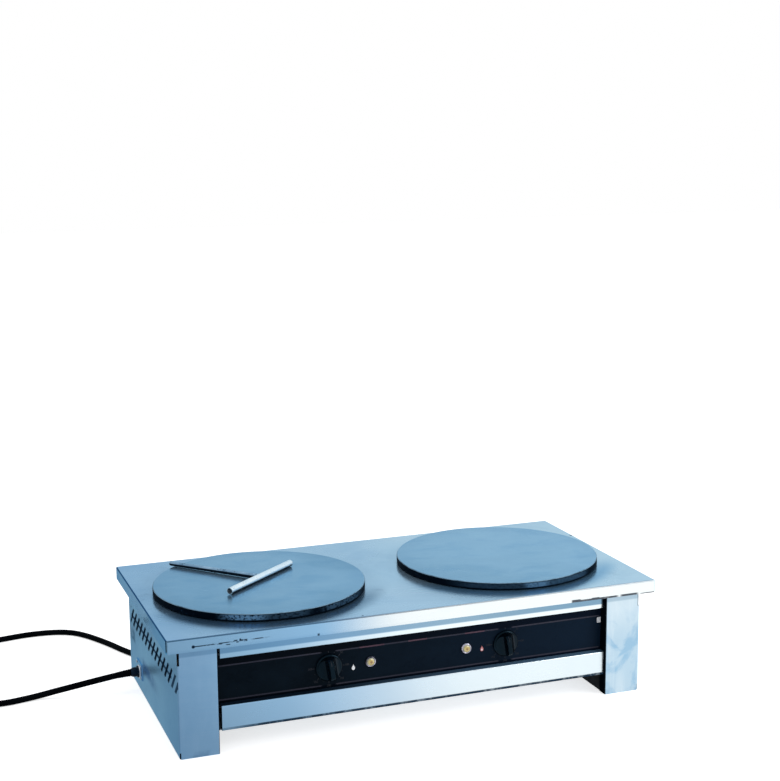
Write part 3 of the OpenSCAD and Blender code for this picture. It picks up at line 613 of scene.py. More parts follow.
# Seasoned cast iron: turned top with burnt-on film, rough dark rim with lighter pits; painted light: the
# right plate's top paler, painted highlights along stretches of the rims, and a painted light line on the
# upper edge
castIron = {
    "film": (0.215, 0.405, 0.605),
    "thinFilm": (0.265, 0.455, 0.645),
    "burnt": (0.15, 0.31, 0.47),
    "paleFilm": (0.33, 0.51, 0.67),
    "rim": (0.0012, 0.0040, 0.0085),
    "rimDust": (0.004, 0.011, 0.023),
    "rimBright": (0.17, 0.36, 0.58),
    # stretches of each rim painted lighter, as highlight and where the burnt film has worn thin: from, to,
    # fade, amount
    "lit": {
        "left": [(-0.338, -0.312, 0.034, 0.80), (-0.290, -0.225, 0.030, 0.14), (-0.160, -0.105, 0.03, 0.20)],
        "right": [(0.130, 0.200, 0.050, 0.13), (0.228, 0.250, 0.020, 0.55), (0.265, 0.345, 0.03, 0.22)],
    },
    "grit": {"left": (0.42, 0.49), "right": (0.2, 0.6)},
    # painted light: how far each plate's top is drawn paler, the right one as lit more
    "paler": {"left": 0.0, "right": 0.35},
    "outer": (0.6, 0.7, 0.8),
    "rimWorn": (0.035, 0.080, 0.145),
    "mottle": (0.72, 0.84, 0.92),
    # painted highlight: the light line on the plate's upper edge
    "edgeLine": (0.27, 0.46, 0.64),
}


def ironMaterial(side):
    centreX, centreY = housing["plates"][side]
    name = "iron" + side.capitalize()
    made, tree, shader = startMaterial(name, Specular_IOR_Level=0.008, Specular_Tint=(0.60, 0.81, 0.92, 1))
    x, _, z = axes(tree)
    film = cloud(tree, where(tree, shift=(centreX * 5, 2, 1)), 6.5, 5, 0.6, 0.5)
    fine = cloud(tree, where(tree), 160, 4, 0.65)
    burnt = cloud(tree, where(tree, shift=(7, centreX, 0)), 2.6, 4, 0.55, 0.8)
    centred = where(tree, shift=(-centreX, -centreY, 0))
    turnedMarks = put(tree, "TexWave", {"Vector": centred, "Scale": 150, "Distortion": 0.25, "Detail": 2.0},
                      wave_type="RINGS", rings_direction="Z").outputs["Fac"]
    top = blend(tree, span(tree, film, 0.35, 0.68), castIron["film"], castIron["thinFilm"])
    top = blend(tree, span(tree, burnt, 0.50, 0.72, 0, 0.65), top, castIron["burnt"])
    # painted light: the right plate's top drawn paler
    top = blend(tree, castIron["paler"][side], top, castIron["paleFilm"])
    mottle = cloud(tree, where(tree, (1, 1.6, 1), shift=(centreX, 4, 0)), 13, 4, 0.6, 0.4)
    top = darken(tree, span(tree, mottle, 0.48, 0.66, 0.0, 0.5), top, castIron["mottle"])
    away = reach(tree, (centreX, centreY, housing["plateTop"]))
    outer = span(tree, away, 0.150, 0.198, smooth=True)
    top = darken(tree, product(tree, outer, 0.22), top, castIron["outer"])
    pits = put(tree, "TexVoronoi", {"Vector": where(tree, (1, 1, 1.6)), "Scale": 210}).outputs["Distance"]
    worn = cloud(tree, where(tree, (14, 14, 60)), 1.0, 5, 0.7)
    grit = cloud(tree, where(tree, (210, 210, 300)), 1.0, 4, 0.7)
    level = window(tree, z, 0.2305, 0.2378, 0.0016)
    chips = product(tree, span(tree, pits, 0.26, 0.10), span(tree, worn, 0.54, 0.63))
    rim = blend(tree, span(tree, worn, 0.55, 0.80, 0, 0.5), castIron["rim"], castIron["rimDust"])
    gritty = span(tree, grit, *castIron["grit"][side])
    # painted highlights along stretches of the rim, and partly film worn thin
    for low, high, fade, amount in castIron["lit"][side]:
        litStretch = product(tree, window(tree, x, low, high, fade), gritty, level, amount)
        rim = blend(tree, litStretch, rim, castIron["rimBright"])
    rim = blend(tree, chips, rim, castIron["rimWorn"])
    # painted highlight: a broken light line along the upper edge
    edge = window(tree, z, 0.2398, 0.2409, 0.0002)
    broken = cloud(tree, where(tree, (30, 30, 30)), 1.0, 3, 0.6)
    edge = product(tree, edge, span(tree, broken, 0.34, 0.50, 0.35, 1.0))
    rim = blend(tree, product(tree, edge, 0.62), rim, castIron["edgeLine"])
    onTop = span(tree, z, 0.24085, 0.24096)
    feed(tree, shader, Base_Color=blend(tree, onTop, rim, top), Metallic=product(tree, onTop, 0.85))
    grain = span(tree, fine, 0.3, 0.7, -0.02, 0.04)
    topRough = plus(tree, span(tree, film, 0.3, 0.7, 0.25, 0.17), grain)
    rimRough = span(tree, worn, 0.3, 0.7, 0.42, 0.62)
    feed(tree, shader, Roughness=mix(tree, onTop, rimRough, topRough))
    swell = bump(tree, shader, film, 0.5, 0.0005)
    height = mix(tree, onTop, plus(tree, fine, chips), turnedMarks)
    bump(tree, shader, height, 0.10, 0.0004, swell)
    return made


# Plain finishes: two tones, roughness range, metal and grain, then gloss and its tint where they are set
plain = {
    "sheath": [(0.045, 0.043, 0.045), (0.10, 0.085, 0.08), (0.45, 0.7), 0.8, 60],
    "wool": [(0.72, 0.69, 0.60), (0.84, 0.82, 0.75), (0.9, 1.0), 0.0, 300],
    "fastener": [(0.42, 0.52, 0.62), (0.58, 0.66, 0.73), (0.22, 0.4), 1.0, 120],
    "ceramic": [(0.70, 0.65, 0.54), (0.80, 0.76, 0.66), (0.4, 0.55), 0.0, 80],
    "copper": [(0.55, 0.27, 0.16), (0.68, 0.37, 0.24), (0.25, 0.42), 1.0, 90],
    "chrome": [(0.62, 0.68, 0.76), (0.74, 0.79, 0.86), (0.08, 0.2), 1.0, 150],
    "brass": [(0.62, 0.45, 0.18), (0.72, 0.56, 0.26), (0.25, 0.4), 1.0, 100],
    "wire": [(0.012, 0.013, 0.016), (0.026, 0.026, 0.030), (0.4, 0.5), 0.0, 200],
    # painted shade: near-black for the foot channels, which lie in shadow
    "soot": [(0.0012, 0.002, 0.003), (0.006, 0.009, 0.013), (0.6, 0.8), 0.0, 90, 0.04],
    "glandBlack": [(0.0015, 0.004, 0.010), (0.006, 0.014, 0.030), (0.25, 0.42), 0.0, 260, 0.10,
                   (0.4, 0.75, 1.0)],
    "cordRubber": [(0.0006, 0.0009, 0.0014), (0.0022, 0.0030, 0.0042), (0.42, 0.6), 0.0, 180, 0.012,
                   (0.4, 0.7, 1.0)],
    "knobBlack": [(0.0004, 0.0010, 0.0022), (0.0012, 0.0038, 0.0070), (0.13, 0.20), 0.0, 70, 0.17,
                  (0.32, 0.68, 1.0)],
    # bezel: dark chrome with painted glints in its lighter tone
    "bezelChrome": [(0.035, 0.040, 0.060), (0.62, 0.60, 0.72), (0.12, 0.25), 1.0, 420],
    "printRose": [(0.034, 0.036, 0.054), (0.054, 0.054, 0.076), (0.5, 0.6), 0.0, 30, 0.02],
    "printDullRed": [(0.080, 0.044, 0.068), (0.120, 0.072, 0.098), (0.5, 0.6), 0.0, 150, 0.05],
    "printPale": [(0.022, 0.026, 0.034), (0.045, 0.048, 0.058), (0.5, 0.6), 0.0, 90, 0.03],
    "printWhite": [(0.88, 0.91, 0.97), (0.94, 0.96, 0.99), (0.35, 0.5), 0.0, 90, 0.2],
    "printRed": [(0.52, 0.085, 0.085), (0.66, 0.30, 0.30), (0.4, 0.5), 0.0, 200, 0.2],
}


def plainMaterial(name, tone, other, rough, metal, grain, gloss=0.5, sheen=(1, 1, 1)):
    made, tree, shader = startMaterial(name, Metallic=metal, Specular_IOR_Level=gloss,
                                       Specular_Tint=(*sheen, 1))
    fine = cloud(tree, where(tree), grain, 4, 0.6)
    haze = cloud(tree, where(tree), grain / 9, 3, 0.5, 0.3)
    mixed = blend(tree, span(tree, haze, 0.35, 0.65), tone, other)
    mixed = blend(tree, span(tree, fine, 0.45, 0.75, 0, 0.35), mixed, other)
    feed(tree, shader, Base_Color=mixed, Roughness=span(tree, fine, 0.3, 0.7, *rough))
    bump(tree, shader, fine, 0.12, 0.0003)
    return made


finish = {name: plainMaterial(name, *values) for name, values in plain.items()}
zincSheet = zincMaterial()
iron = {side: ironMaterial(side) for side in housing["plates"]}
print("other finishes ready")


# Black front: lacquer with dust and light scuffs, painted a little greyer to the right as lit, and painted
# darker above and below the printed lines as shade
lacquer = {
    "black": (0.0016, 0.0048, 0.0092),
    "scuffed": (0.0034, 0.0084, 0.0150),
    # painted light: the greyer, lit tone to the right
    "right": (0.0060, 0.0158, 0.0340),
    # painted shade above and below the printed lines, next to the rails
    "beyond": (0.25, 0.32, 0.45),      # above and below the printed lines
    "dust": (0.05, 0.07, 0.09),
}


def panelMaterial():
    made, tree, shader = startMaterial("panelBlack", Specular_IOR_Level=0.025)
    dust = cloud(tree, where(tree), 240, 4, 0.7)
    scuff = cloud(tree, where(tree, (6, 1, 9)), 3.0, 4, 0.6, 0.4)
    x, _, z = axes(tree)
    colour = blend(tree, span(tree, scuff, 0.35, 0.7), lacquer["black"], lacquer["scuffed"])
    # painted light: greyer to the right
    colour = blend(tree, span(tree, x, -0.2, 0.38, 0, 0.85), colour, lacquer["right"])
    # painted shade above and below the printed lines
    beyond = less(tree, 1.0, window(tree, z, 0.0910, 0.1520, 0.0012))
    colour = darken(tree, product(tree, beyond, 0.75), colour, lacquer["beyond"])
    colour = blend(tree, span(tree, dust, 0.68, 0.75, 0, 0.20), colour, lacquer["dust"])
    feed(tree, shader, Base_Color=colour, Roughness=span(tree, scuff, 0.3, 0.7, 0.22, 0.38))
    bump(tree, shader, cloud(tree, where(tree), 90, 2), 0.03, 0.0004)
    return made


panelBlack = panelMaterial()


# Amber pilot lens: dark in the middle, pale at its edge
lensColours = {"middle": (0.34, 0.15, 0.016), "ring": (0.86, 0.66, 0.20), "edge": (0.74, 0.72, 0.52)}


def lensMaterial(name, x):
    made, tree, shader = startMaterial(name, Roughness=0.06, Coat_Weight=1.0, Coat_Roughness=0.03,
                                       Transmission_Weight=0.25)
    flat = put(tree, "VectorMath", {0: objectSpace(tree), 1: (1, 0, 1)}, operation="MULTIPLY").outputs[0]
    away = reach(tree, (x, 0, housing["controlsZ"]), flat)
    mottle = cloud(tree, where(tree), 700, 2)
    away = plus(tree, away, span(tree, mottle, 0.3, 0.7, -0.0008, 0.0008))
    colour = blend(tree, span(tree, away, 0.0014, 0.0034), lensColours["middle"], lensColours["ring"])
    colour = blend(tree, span(tree, away, 0.0046, 0.0066), colour, lensColours["edge"])
    feed(tree, shader, Base_Color=colour)
    return made


# Worn spreader steel: dark specks where the plating has gone, and painted shade on the side facing down
spreaderFinish = {
    "bar": dict(light=(0.80, 0.91, 0.96), dark=(0.56, 0.72, 0.84), fleck=260, gone=0.55, under=(0.05, -0.35)),
    "rod": dict(light=(0.32, 0.50, 0.68), dark=(0.12, 0.24, 0.38), fleck=220, gone=0.48, under=(0.40, 0.15)),
    "specks": (0.035, 0.06, 0.09),
    # painted shade for the side facing down
    "caked": (0.003, 0.009, 0.018),
}


def spreaderMaterial(name, light, dark, fleck, gone, under):
    made, tree, shader = startMaterial(name, Specular_IOR_Level=0.03, Specular_Tint=(0.7, 0.88, 1.0, 1))
    haze = cloud(tree, where(tree), 22, 5, 0.65, 0.4)
    speck = put(tree, "TexVoronoi", {"Vector": where(tree), "Scale": fleck}).outputs["Distance"]
    bare = cloud(tree, where(tree, shift=(1, 4, 2)), 48, 4, 0.7)
    marks = product(tree, span(tree, speck, 0.34, 0.18), span(tree, bare, gone, gone + 0.09))
    colour = blend(tree, span(tree, haze, 0.36, 0.66), dark, light)
    colour = blend(tree, marks, colour, spreaderFinish["specks"])
    # painted shade: the side facing down darkened, and not metal
    facing = put(tree, "SeparateXYZ", {0: put(tree, "NewGeometry").outputs["Normal"]}).outputs[2]
    below = span(tree, facing, *under, smooth=True)
    colour = blend(tree, below, colour, spreaderFinish["caked"])
    rough = plus(tree, span(tree, haze, 0.3, 0.7, 0.42, 0.28), product(tree, marks, 0.3))
    feed(tree, shader, Base_Color=colour, Roughness=rough, Metallic=span(tree, below, 0.0, 1.0, 0.85, 0.0))
    bump(tree, shader, less(tree, haze, marks), 0.2, 0.0004)
    return made


spreaderSteel = spreaderMaterial("spreaderSteel", **spreaderFinish["bar"])
spreaderRod = spreaderMaterial("spreaderRod", **spreaderFinish["rod"])

# The mains lead, in metres: its route, coil and tail
lead = {
    "diameter": 0.012,
    "exit": (-0.498, 0.134, 0.038),
    "route": [
        (-0.498, 0.134, 0.038), (-0.520, 0.135, 0.035), (-0.550, 0.138, 0.030), (-0.586, 0.146, 0.022),
        (-0.616, 0.156, 0.014), (-0.644, 0.161, 0.008), (-0.672, 0.158, 0.006), (-0.711, 0.151, 0.006),
        (-0.762, 0.155, 0.006), (-0.814, 0.178, 0.006), (-0.856, 0.220, 0.006), (-0.8815, 0.280, 0.006),
        (-0.8855, 0.342, 0.006), (-0.864, 0.410, 0.006), (-0.820, 0.466, 0.006), (-0.764, 0.504, 0.006),
        (-0.712, 0.520, 0.006), (-0.671, 0.527, 0.006), (-0.630, 0.534, 0.006), (-0.590, 0.534, 0.006),
        (-0.556, 0.527, 0.006), (-0.528, 0.511, 0.006), (-0.505, 0.483, 0.006), (-0.482, 0.442, 0.006),
        (-0.464, 0.404, 0.006), (-0.448, 0.366, 0.006), (-0.430, 0.330, 0.006), (-0.406, 0.298, 0.006),
        (-0.374, 0.275, 0.006), (-0.338, 0.265, 0.006), (-0.300, 0.264, 0.006),
    ],
    "coilAt": (-0.300, 0.336),
    "outer": 0.072,
    "inner": 0.060,
    "turns": 2.25,
    # where the coil steps in, then back out to the groove, and where it climbs, as (start, length) in turns
    "stepIn": (0.85, 0.15),
    "stepOut": (1.85, 0.20),
    "climb": (1.60, 0.25),
    "tail": [(-0.234, 0.345, 0.018), (-0.233, 0.368, 0.019), (-0.232, 0.392, 0.0195)],
}


# One turn outside, one inside it, and the last quarter lying in the groove between them
def coilPoint(t):
    stepIn, stepOut, climb = [ease((t - lead[k][0]) / lead[k][1]) for k in ("stepIn", "stepOut", "climb")]
    gap = lead["outer"] - lead["inner"]
    r = lead["outer"] - gap * stepIn + gap / 2 * stepOut
    z = lead["diameter"] * (0.5 + climb)
    a = math.radians(-90 + 360 * t)
    return Vector((lead["coilAt"][0] + r * math.cos(a), lead["coilAt"][1] + r * math.sin(a), z))


def leadLine():
    line = smoothLine(lead["route"], 5)
    perTurn = 48
    line += [coilPoint(k / perTurn) for k in range(1, int(lead["turns"] * perTurn) + 1)]
    line += smoothLine([line[-1], *lead["tail"]], 4)[1:]
    return line


def makeLead():
    line = leadLine()
    curve = bpy.data.curves.new("mains_lead", "CURVE")
    curve.dimensions = "3D"
    curve.bevel_depth = lead["diameter"] / 2
    curve.bevel_resolution = 5
    curve.use_fill_caps = True
    spline = curve.splines.new("POLY")
    spline.points.add(len(line) - 1)
    for point, spot in zip(spline.points, line):
        point.co = (*spot, 1)
    spline.use_smooth = True
    curve.materials.append(finish["cordRubber"])
    made = bpy.data.objects.new("mains_lead", curve)
    bpy.context.collection.objects.link(made)
    length = sum((b - a).length for a, b in zip(line, line[1:]))
    return made, length


# Strap round both turns of the coil, its free end turned up
tie = {
    "at": 60,
    "width": 0.006,
    "thick": 0.001,
    "low": 0.0006,
    "outside": 0.0068,                 # from the middle of the lead
    "corner": 0.005,
    "over": 0.0008,
    "tail": 0.014,
    "tailFrom": 0.012,
    "curl": 0.006,
}


def makeTie():
    bm = bmesh.new()
    r0, r1 = lead["inner"] - tie["outside"], lead["outer"] + tie["outside"]
    top = lead["diameter"] + tie["over"]
    corner = tie["corner"]
    outline = []
    for cx, cz, start in ((r1 - corner, tie["low"] + corner, -90), (r1 - corner, top - corner, 0),
                          (r0 + corner, top - corner, 90), (r0 + corner, tie["low"] + corner, 180)):
        for k in range(7):
            a = math.radians(start + 15 * k)
            outline.append((cx + corner * math.cos(a), cz + corner * math.sin(a), math.cos(a), math.sin(a)))
    out = Vector((math.cos(math.radians(tie["at"])), math.sin(math.radians(tie["at"])), 0))
    side = Vector((-out.y, out.x, 0))
    middle = Vector((*lead["coilAt"], 0))
    rings = []
    for r, z, nr, nz in outline:
        ring = []
        for w, t in ((-1, -0.4), (1, -0.4), (1, 0.6), (-1, 0.6)):
            spot = middle + out * (r + nr * tie["thick"] * t) + side * (w * tie["width"] / 2)
            spot.z = max(z + nz * tie["thick"] * t, 0.0002)
            ring.append(spot)
        rings.append(ring)
    skin(bm, rings, loop=True)
    # the free end, lying over the top and curling up
    rings = []
    for k in range(8):
        t = k / 7
        r = r0 + tie["tailFrom"] - tie["tail"] * t
        z = top + tie["thick"] * 1.1 + tie["curl"] * t * t
        ring = []
        for w, h in ((-1, -0.5), (1, -0.5), (1, 0.5), (-1, 0.5)):
            spot = middle + out * r + side * (w * tie["width"] * (0.5 - 0.12 * t * t))
            spot.z = z + h * tie["thick"]
            ring.append(spot)
        rings.append(ring)
    skin(bm, rings)
    return asObject(bm, "lead_tie", finish["glandBlack"])


mainsLead, leadLength = makeLead()
fit(mainsLead, "housing", "rubber", "power_cord", "cord_coil", "cord_tail")
leadTie = fit(makeTie(), "housing", "rubber")
print("mains lead", round(leadLength, 3), "m")

# Knob, in mm: skirt and crown as (radius, height), grip left between two long hollows
knob = {
    "crown": [(0, 24), (13, 24), (16, 23.4), (19.5, 20), (21.4, 13), (22, 5.4), (24, 4.6), (25, 3.5)],
    "radii": [0.8, 2, 3, 4, 5, 6, 7, 8, 9, 10, 11, 12, 13, 14, 15, 16, 17, 18, 19, 19.8, 20.5, 21, 21.4,
              21.6, 21.8, 22, 22.4, 23, 24, 24.6, 25],
    "wall": [(25, 1.8), (24.2, 1), (18, 1)],
    "grip": 4.3,
    "hollow": 20,
    "hollowZ": 26,
    "round": 1.3,
    "tilt": 8,
    "pointer": (0.55, 8.5, 19.0),      # half width, start and end along the grip
    "pointerIn": 0.4,
    "pointerOut": 0.10,
}


def knobHeight(x, y):
    crown = follow(knob["crown"], math.hypot(x, y))
    across = abs(x) - knob["grip"] - knob["hollow"]
    if across > 0:
        return softMin(crown, knob["hollowZ"] - knob["hollow"], knob["round"])
    if across < -knob["hollow"]:
        return softMin(crown, knob["hollowZ"], knob["round"])
    return softMin(crown, knob["hollowZ"] - math.sqrt(knob["hollow"] ** 2 - across ** 2), knob["round"])


# Angles round the knob, closer together where the grip meets its rim
def knobAngles():
    angles = []
    for middle in (90, 270):
        angles += [middle + a * 1.25 for a in range(-20, 21)]
        angles += [middle + 25 + a * 5 for a in range(1, 26)]
    return [math.radians(a) for a in angles]


def makeKnob(side):
    place = onPanel(housing["knobs"][side]) @ Matrix.Rotation(math.radians(knob["tilt"]), 4, "Z")
    bm = bmesh.new()
    relief(bm, knob["radii"], knobAngles(), knobHeight, knob["wall"], place)
    moulded = asObject(bm, side + "_knob_moulded", finish["knobBlack"], sharpOver=48)
    fit(moulded, side + "_control", "knob_black", side + "_knob")
    # pointer line let into the top end of the grip
    half, start, end = knob["pointer"]
    bm = bmesh.new()
    rings = []
    steps = 12
    for k in range(steps + 1):
        y = start + (end - start) * k / steps
        z = knobHeight(0, y)
        width = half * min(1, 0.45 + min(k, steps - k) * 0.3)
        low, high = z - knob["pointerIn"], z + knob["pointerOut"]
        corners = ((-width, y, low), (width, y, low), (width, y, high), (-width, y, high))
        rings.append([place @ (Vector(corner) * mm) for corner in corners])
    skin(bm, rings)
    fit(asObject(bm, side + "_knob_pointer", finish["printPale"]), side + "_control", "knob_black")


for side in housing["knobs"]:
    makeKnob(side)
print("knobs")

# Pilot lamp, in mm: faceted lens and a stepped, finely fluted bezel over the lamp's body
lamp = {
    "lens": [(7.5, 0.4), (7.5, 2.7), (6.7, 4.5), (4.7, 5.9), (2.5, 6.6), (0.9, 6.9)],
    "facets": 12,
    "bezel": [(10.5, 0.05), (10.5, 1.1), (10.2, 2.0), (9.5, 2.9), (8.9, 3.3), (8.2, 3.45), (7.65, 3.2),
              (7.4, 2.6), (7.4, 1.0), (9.9, 0.4)],
    "flutes": 40,
    "fluteDepth": 0.16,
}


# Flutes round the bezel's outer step
def bezelShape(r, z, a):
    if r < 10.1:
        return r
    return r - lamp["fluteDepth"] * (0.5 + 0.5 * math.cos(lamp["flutes"] * a))


def makeLamp(side):
    place = onPanel(housing["lamps"][side])
    bm = bmesh.new()
    turned(bm, lamp["lens"], lamp["facets"], place)
    amber = lensMaterial(side + "Amber", housing["lamps"][side])
    fit(asObject(bm, side + "_lamp_jewel", amber, sharpOver=8), "housing", "lens_amber", side + "_lamp_lens")
    bm = bmesh.new()
    ringForm(bm, lamp["bezel"], 4 * lamp["flutes"], place, bezelShape)
    fit(asObject(bm, side + "_lamp_bezel", finish["bezelChrome"]), "housing", "chrome")


for side in housing["lamps"]:
    makeLamp(side)
print("pilot lamps")

# Printing on the control panel, in mm from the middle of its face
printing = {
    "thick": 0.12,
    "sunk": -0.05,
    "lineHalf": 1.3,
    "upperLine": 153.0,
    "lowerLine": 90.2,
    "from": -379.0,
    "to": 379.0,
    "gap": 12.0,                       # each side of a knob
    "taper": 4.0,
    "redder": [(-112, -64), (-17, 20), (96, 136)],
    "marks": 13,
    "markStep": 22.5,
    "tick": (26.8, 30.6, 0.45),        # start and end from the knob's middle, half width
    "dot": (27.9, 28.9),
    "numbers": ["50", "100", "150", "200", "250", "300"],
    "numberAt": 35.0,
    "numberSize": 5.4,
    "flames": {"left": (-124.4, 117.6, 0.82), "right": (130.8, 119.4, 0.82)},
    "patch": (373.0, 384.0, 139.0, 150.0),
}
flame = [(0.0, 7.2), (0.6, 4.6), (1.9, 2.2), (3.3, 0.0), (3.9, -2.6), (3.2, -5.0), (1.7, -6.4), (0.0, -6.8),
         (-1.7, -6.4), (-3.2, -5.0), (-3.9, -2.6), (-3.3, -0.4), (-2.4, 0.9), (-2.3, 2.6), (-1.4, 2.0),
         (-0.9, 3.6)]
panelFace = onPanel(0, 0)


def ink(bm, outline, place=panelFace, high=printing["thick"], low=printing["sunk"]):
    slab(bm, outline, low, high, place)


# Stretch of line, pointed where an end tapers
def inkLine(bm, x0, x1, z, taperLeft, taperRight):
    h = printing["lineHalf"]
    left, right = x0 + taperLeft, x1 - taperRight
    outline = [(left, z - h), (right, z - h), (right, z + h), (left, z + h)]
    if taperLeft or taperRight:
        outline = [(x0, z), *outline[:2], (x1, z), *outline[2:]]
    ink(bm, outline)


# A short run of lettering as a flat mesh, centred on a point of the panel
def lettering(bm, words, size, x, z):
    text = bpy.data.curves.new("dialNumber", "FONT")
    text.body = words
    text.size = size * mm
    text.extrude = printing["thick"] * mm / 2
    text.align_x = "CENTER"
    text.align_y = "CENTER"
    holder = bpy.data.objects.new("dialNumber", text)
    bpy.context.collection.objects.link(holder)
    bpy.context.view_layer.update()
    mesh = bpy.data.meshes.new_from_object(holder.evaluated_get(bpy.context.evaluated_depsgraph_get()))
    mesh.transform(panelFace @ Matrix.Translation((x * mm, z * mm, printing["thick"] * mm / 2)))
    bm.from_mesh(mesh)
    bpy.data.objects.remove(holder)
    bpy.data.curves.remove(text)
    bpy.data.meshes.remove(mesh)


# Two long lines with gaps at the knobs; near the lamps the upper one is in the redder ink, a piece of its own
def printLines(name, material, dull):
    p = printing
    left, right = [x / mm for x in housing["knobs"].values()]
    stops = [p["from"], left - p["gap"], left + p["gap"], right - p["gap"], right + p["gap"], p["to"]]
    bm = bmesh.new()
    for z, redder in ((p["upperLine"], p["redder"]), (p["lowerLine"], [])):
        for a, b in zip(stops[::2], stops[1::2]):
            cuts = sorted({a, b, *[c for pair in redder for c in pair if a < c < b]})
            for c, d in zip(cuts, cuts[1:]):
                if dull == any(low <= c and d <= high for low, high in redder):
                    inkLine(bm, c, d, z, p["taper"] * (c == a), p["taper"] * (d == b))
    fit(asObject(bm, name, finish[material]), "housing", "panel_black")


# Ticks, dots between them and plain numbers round each knob
def printDials():
    p = printing
    height = housing["controlsZ"] / mm
    pale = bmesh.new()
    for x in housing["knobs"].values():
        start, end, half = p["tick"]
        for k in range(p["marks"]):
            low, high = p["dot"] if k % 2 else (start, end)
            spin = onPanel(x) @ Matrix.Rotation(-math.radians(p["markStep"] * k), 4, "Z")
            ink(pale, [(-half, low), (half, low), (half, high), (-half, high)], spin)
        for k, words in enumerate(p["numbers"]):
            a = math.radians(2 * p["markStep"] * (k + 1))
            across, up = p["numberAt"] * math.sin(a), p["numberAt"] * math.cos(a)
            lettering(pale, words, p["numberSize"], x / mm + across, height + up)
    fit(asObject(pale, "dial_scales", finish["printPale"]), "housing", "panel_black")


# Flame mark beside each lamp, the red one with a pale heart, and the bare patch at the right end
def printMarks():
    p = printing
    white, red = bmesh.new(), bmesh.new()
    for bm, (x, z, size) in zip((white, red), p["flames"].values()):
        ink(bm, [(x + size * u, z + size * v) for u, v in flame])
    x, z, size = p["flames"]["right"]
    heart = [(x + 0.34 * u, z + 0.34 * v - 2.0) for u, v in flame]
    ink(white, heart, high=p["thick"] + 0.05, low=p["thick"])
    a, b, c, d = p["patch"]
    corners = [(a + 1, c), (b - 1, c), (b, c + 1), (b, d - 1), (b - 1, d), (a + 1, d), (a, d - 1), (a, c + 1)]
    ink(white, corners, high=2 * p["thick"])
    fit(asObject(white, "panel_white_marks", finish["printWhite"]), "housing", "panel_black")
    fit(asObject(red, "panel_red_marks", finish["printRed"]), "housing", "panel_black")


printLines("panel_lines", "printRose", dull=False)
printDials()
printMarks()
printLines("panel_dull_red", "printDullRed", dull=True)
print("panel printing")

# Burnt-on crust round each plate's rim, in mm: lumps, and chips along the upper edge
crust = {
    "radius": 200.15,
    "inside": 198.6,
    "low": 227.4,
    "high": 239.9,
    "rows": 7,
    "steps": 540,
    "lump": 0.45,
    "tuck": 0.25,                      # drawn in at the two edges
}


def makeCrust(side):
    bm = bmesh.new()
    place = Matrix.Translation((*housing["plates"][side], 0))
    step = (crust["high"] - crust["low"]) / (crust["rows"] - 1)
    heights = [crust["low"] + step * k for k in range(crust["rows"])]
    rings = []
    for a in around(crust["steps"]):
        ring = []
        for z in heights:
            spot = spun(place, crust["radius"], z, a) / mm
            lump = noise.noise(spot * 0.11) * 0.6 + noise.noise(spot * 0.33) * 0.4
            r = crust["radius"] + crust["lump"] * max(lump, -0.35)
            if z in (heights[0], heights[-1]):
                r -= crust["tuck"]
            ring.append(spun(place, r, z, a))
        ring += [spun(place, crust["inside"], z, a) for z in (heights[-1], heights[0])]
        rings.append(ring)
    skin(bm, rings, loop=True)
    fit(asObject(bm, side + "_plate_crust", iron[side], sharpOver=70), "housing", "iron")


for side in housing["plates"]:
    makeCrust(side)
print("plate crust")

# Pan head screws with a cross recess, in mm
screw = {
    "radii": [0.12, 0.3, 0.45, 0.6, 0.75, 0.85, 0.93, 1.0],
    "recess": (0.16, 0.52, 0.55),      # the cross's half width, length and depth, over the head's radius
    "shank": 0.5,
    "long": 8.0,
    # head's radius and height, the turn that points it outwards, and the places
    "sets": {
        "rear": (3.8, 2.66, (-90, "X"), [(x, 0.234, z) for x in (-0.443, 0.443) for z in (0.06, 0.13, 0.20)]),
        "base": (3.8, 2.66, (180, "X"), [(x, -0.198, 0.038) for x in (-0.330, 0.0, 0.330)]),
        "gland": (3.2, 2.24, (-90, "Y"), [(-0.455, y, z) for y in (0.115, 0.153) for z in (0.033, 0.055)]),
    },
}


def makeScrews(name):
    r, h, (angle, axis), spots = screw["sets"][name]
    wide, long, deep = [v * r for v in screw["recess"]]
    shank = screw["shank"] * r

    def headHeight(x, y):
        dome = h * (1 - 0.45 * (math.hypot(x, y) / r) ** 2.4)
        for u, v in ((abs(x), abs(y)), (abs(y), abs(x))):
            inset = min(wide - u, long - v)
            if inset > 0:
                dome = min(dome, h - deep * min(1, inset / (0.5 * wide)) * (1 - 0.5 * v / long))
        return dome

    end = -screw["long"]
    wall = [(r, 0.15), (r * 0.96, 0.0), (shank, 0.0), (shank, end + 0.6), (shank * 0.6, end)]
    bm = bmesh.new()
    outwards = Matrix.Rotation(math.radians(angle), 4, axis)
    for k, spot in enumerate(spots):
        # no two are left at the same turn
        place = Matrix.Translation(spot) @ outwards @ Matrix.Rotation(math.radians(17 + 53 * k), 4, "Z")
        relief(bm, [q * r for q in screw["radii"]], around(64), headHeight, wall, place)
    fit(asObject(bm, name + "_screw_heads", finish["fastener"]), "housing", "fastener", name + "_screws")


for name in screw["sets"]:
    makeScrews(name)
print("screws")

# Cable gland, in mm from the panel's face
gland = {
    "at": (-0.455, 0.134, 0.040),
    "profile": [(7.9, -14), (7.9, 0), (11.4, 0.02), (11.5, 0.6), (11.5, 4.2), (10.6, 5.0), (9.0, 5.05),
                (8.7, 5.6), (9.3, 6.4), (9.3, 11.2), (8.7, 13.2), (7.9, 15.4), (7.2, 16.6), (6.4, 17.0),
                (2.0, 17.0)],
    "collar": [(11.65, 0.1), (13.4, 0.1), (13.6, 0.5), (13.3, 1.3), (12.6, 1.7), (11.65, 1.5)],
    "hexRadius": 11.5,
    "hexTo": 5.02,
    "flutes": 12,
    "fluted": (6, 14),
    "fluteDepth": 0.45,
}


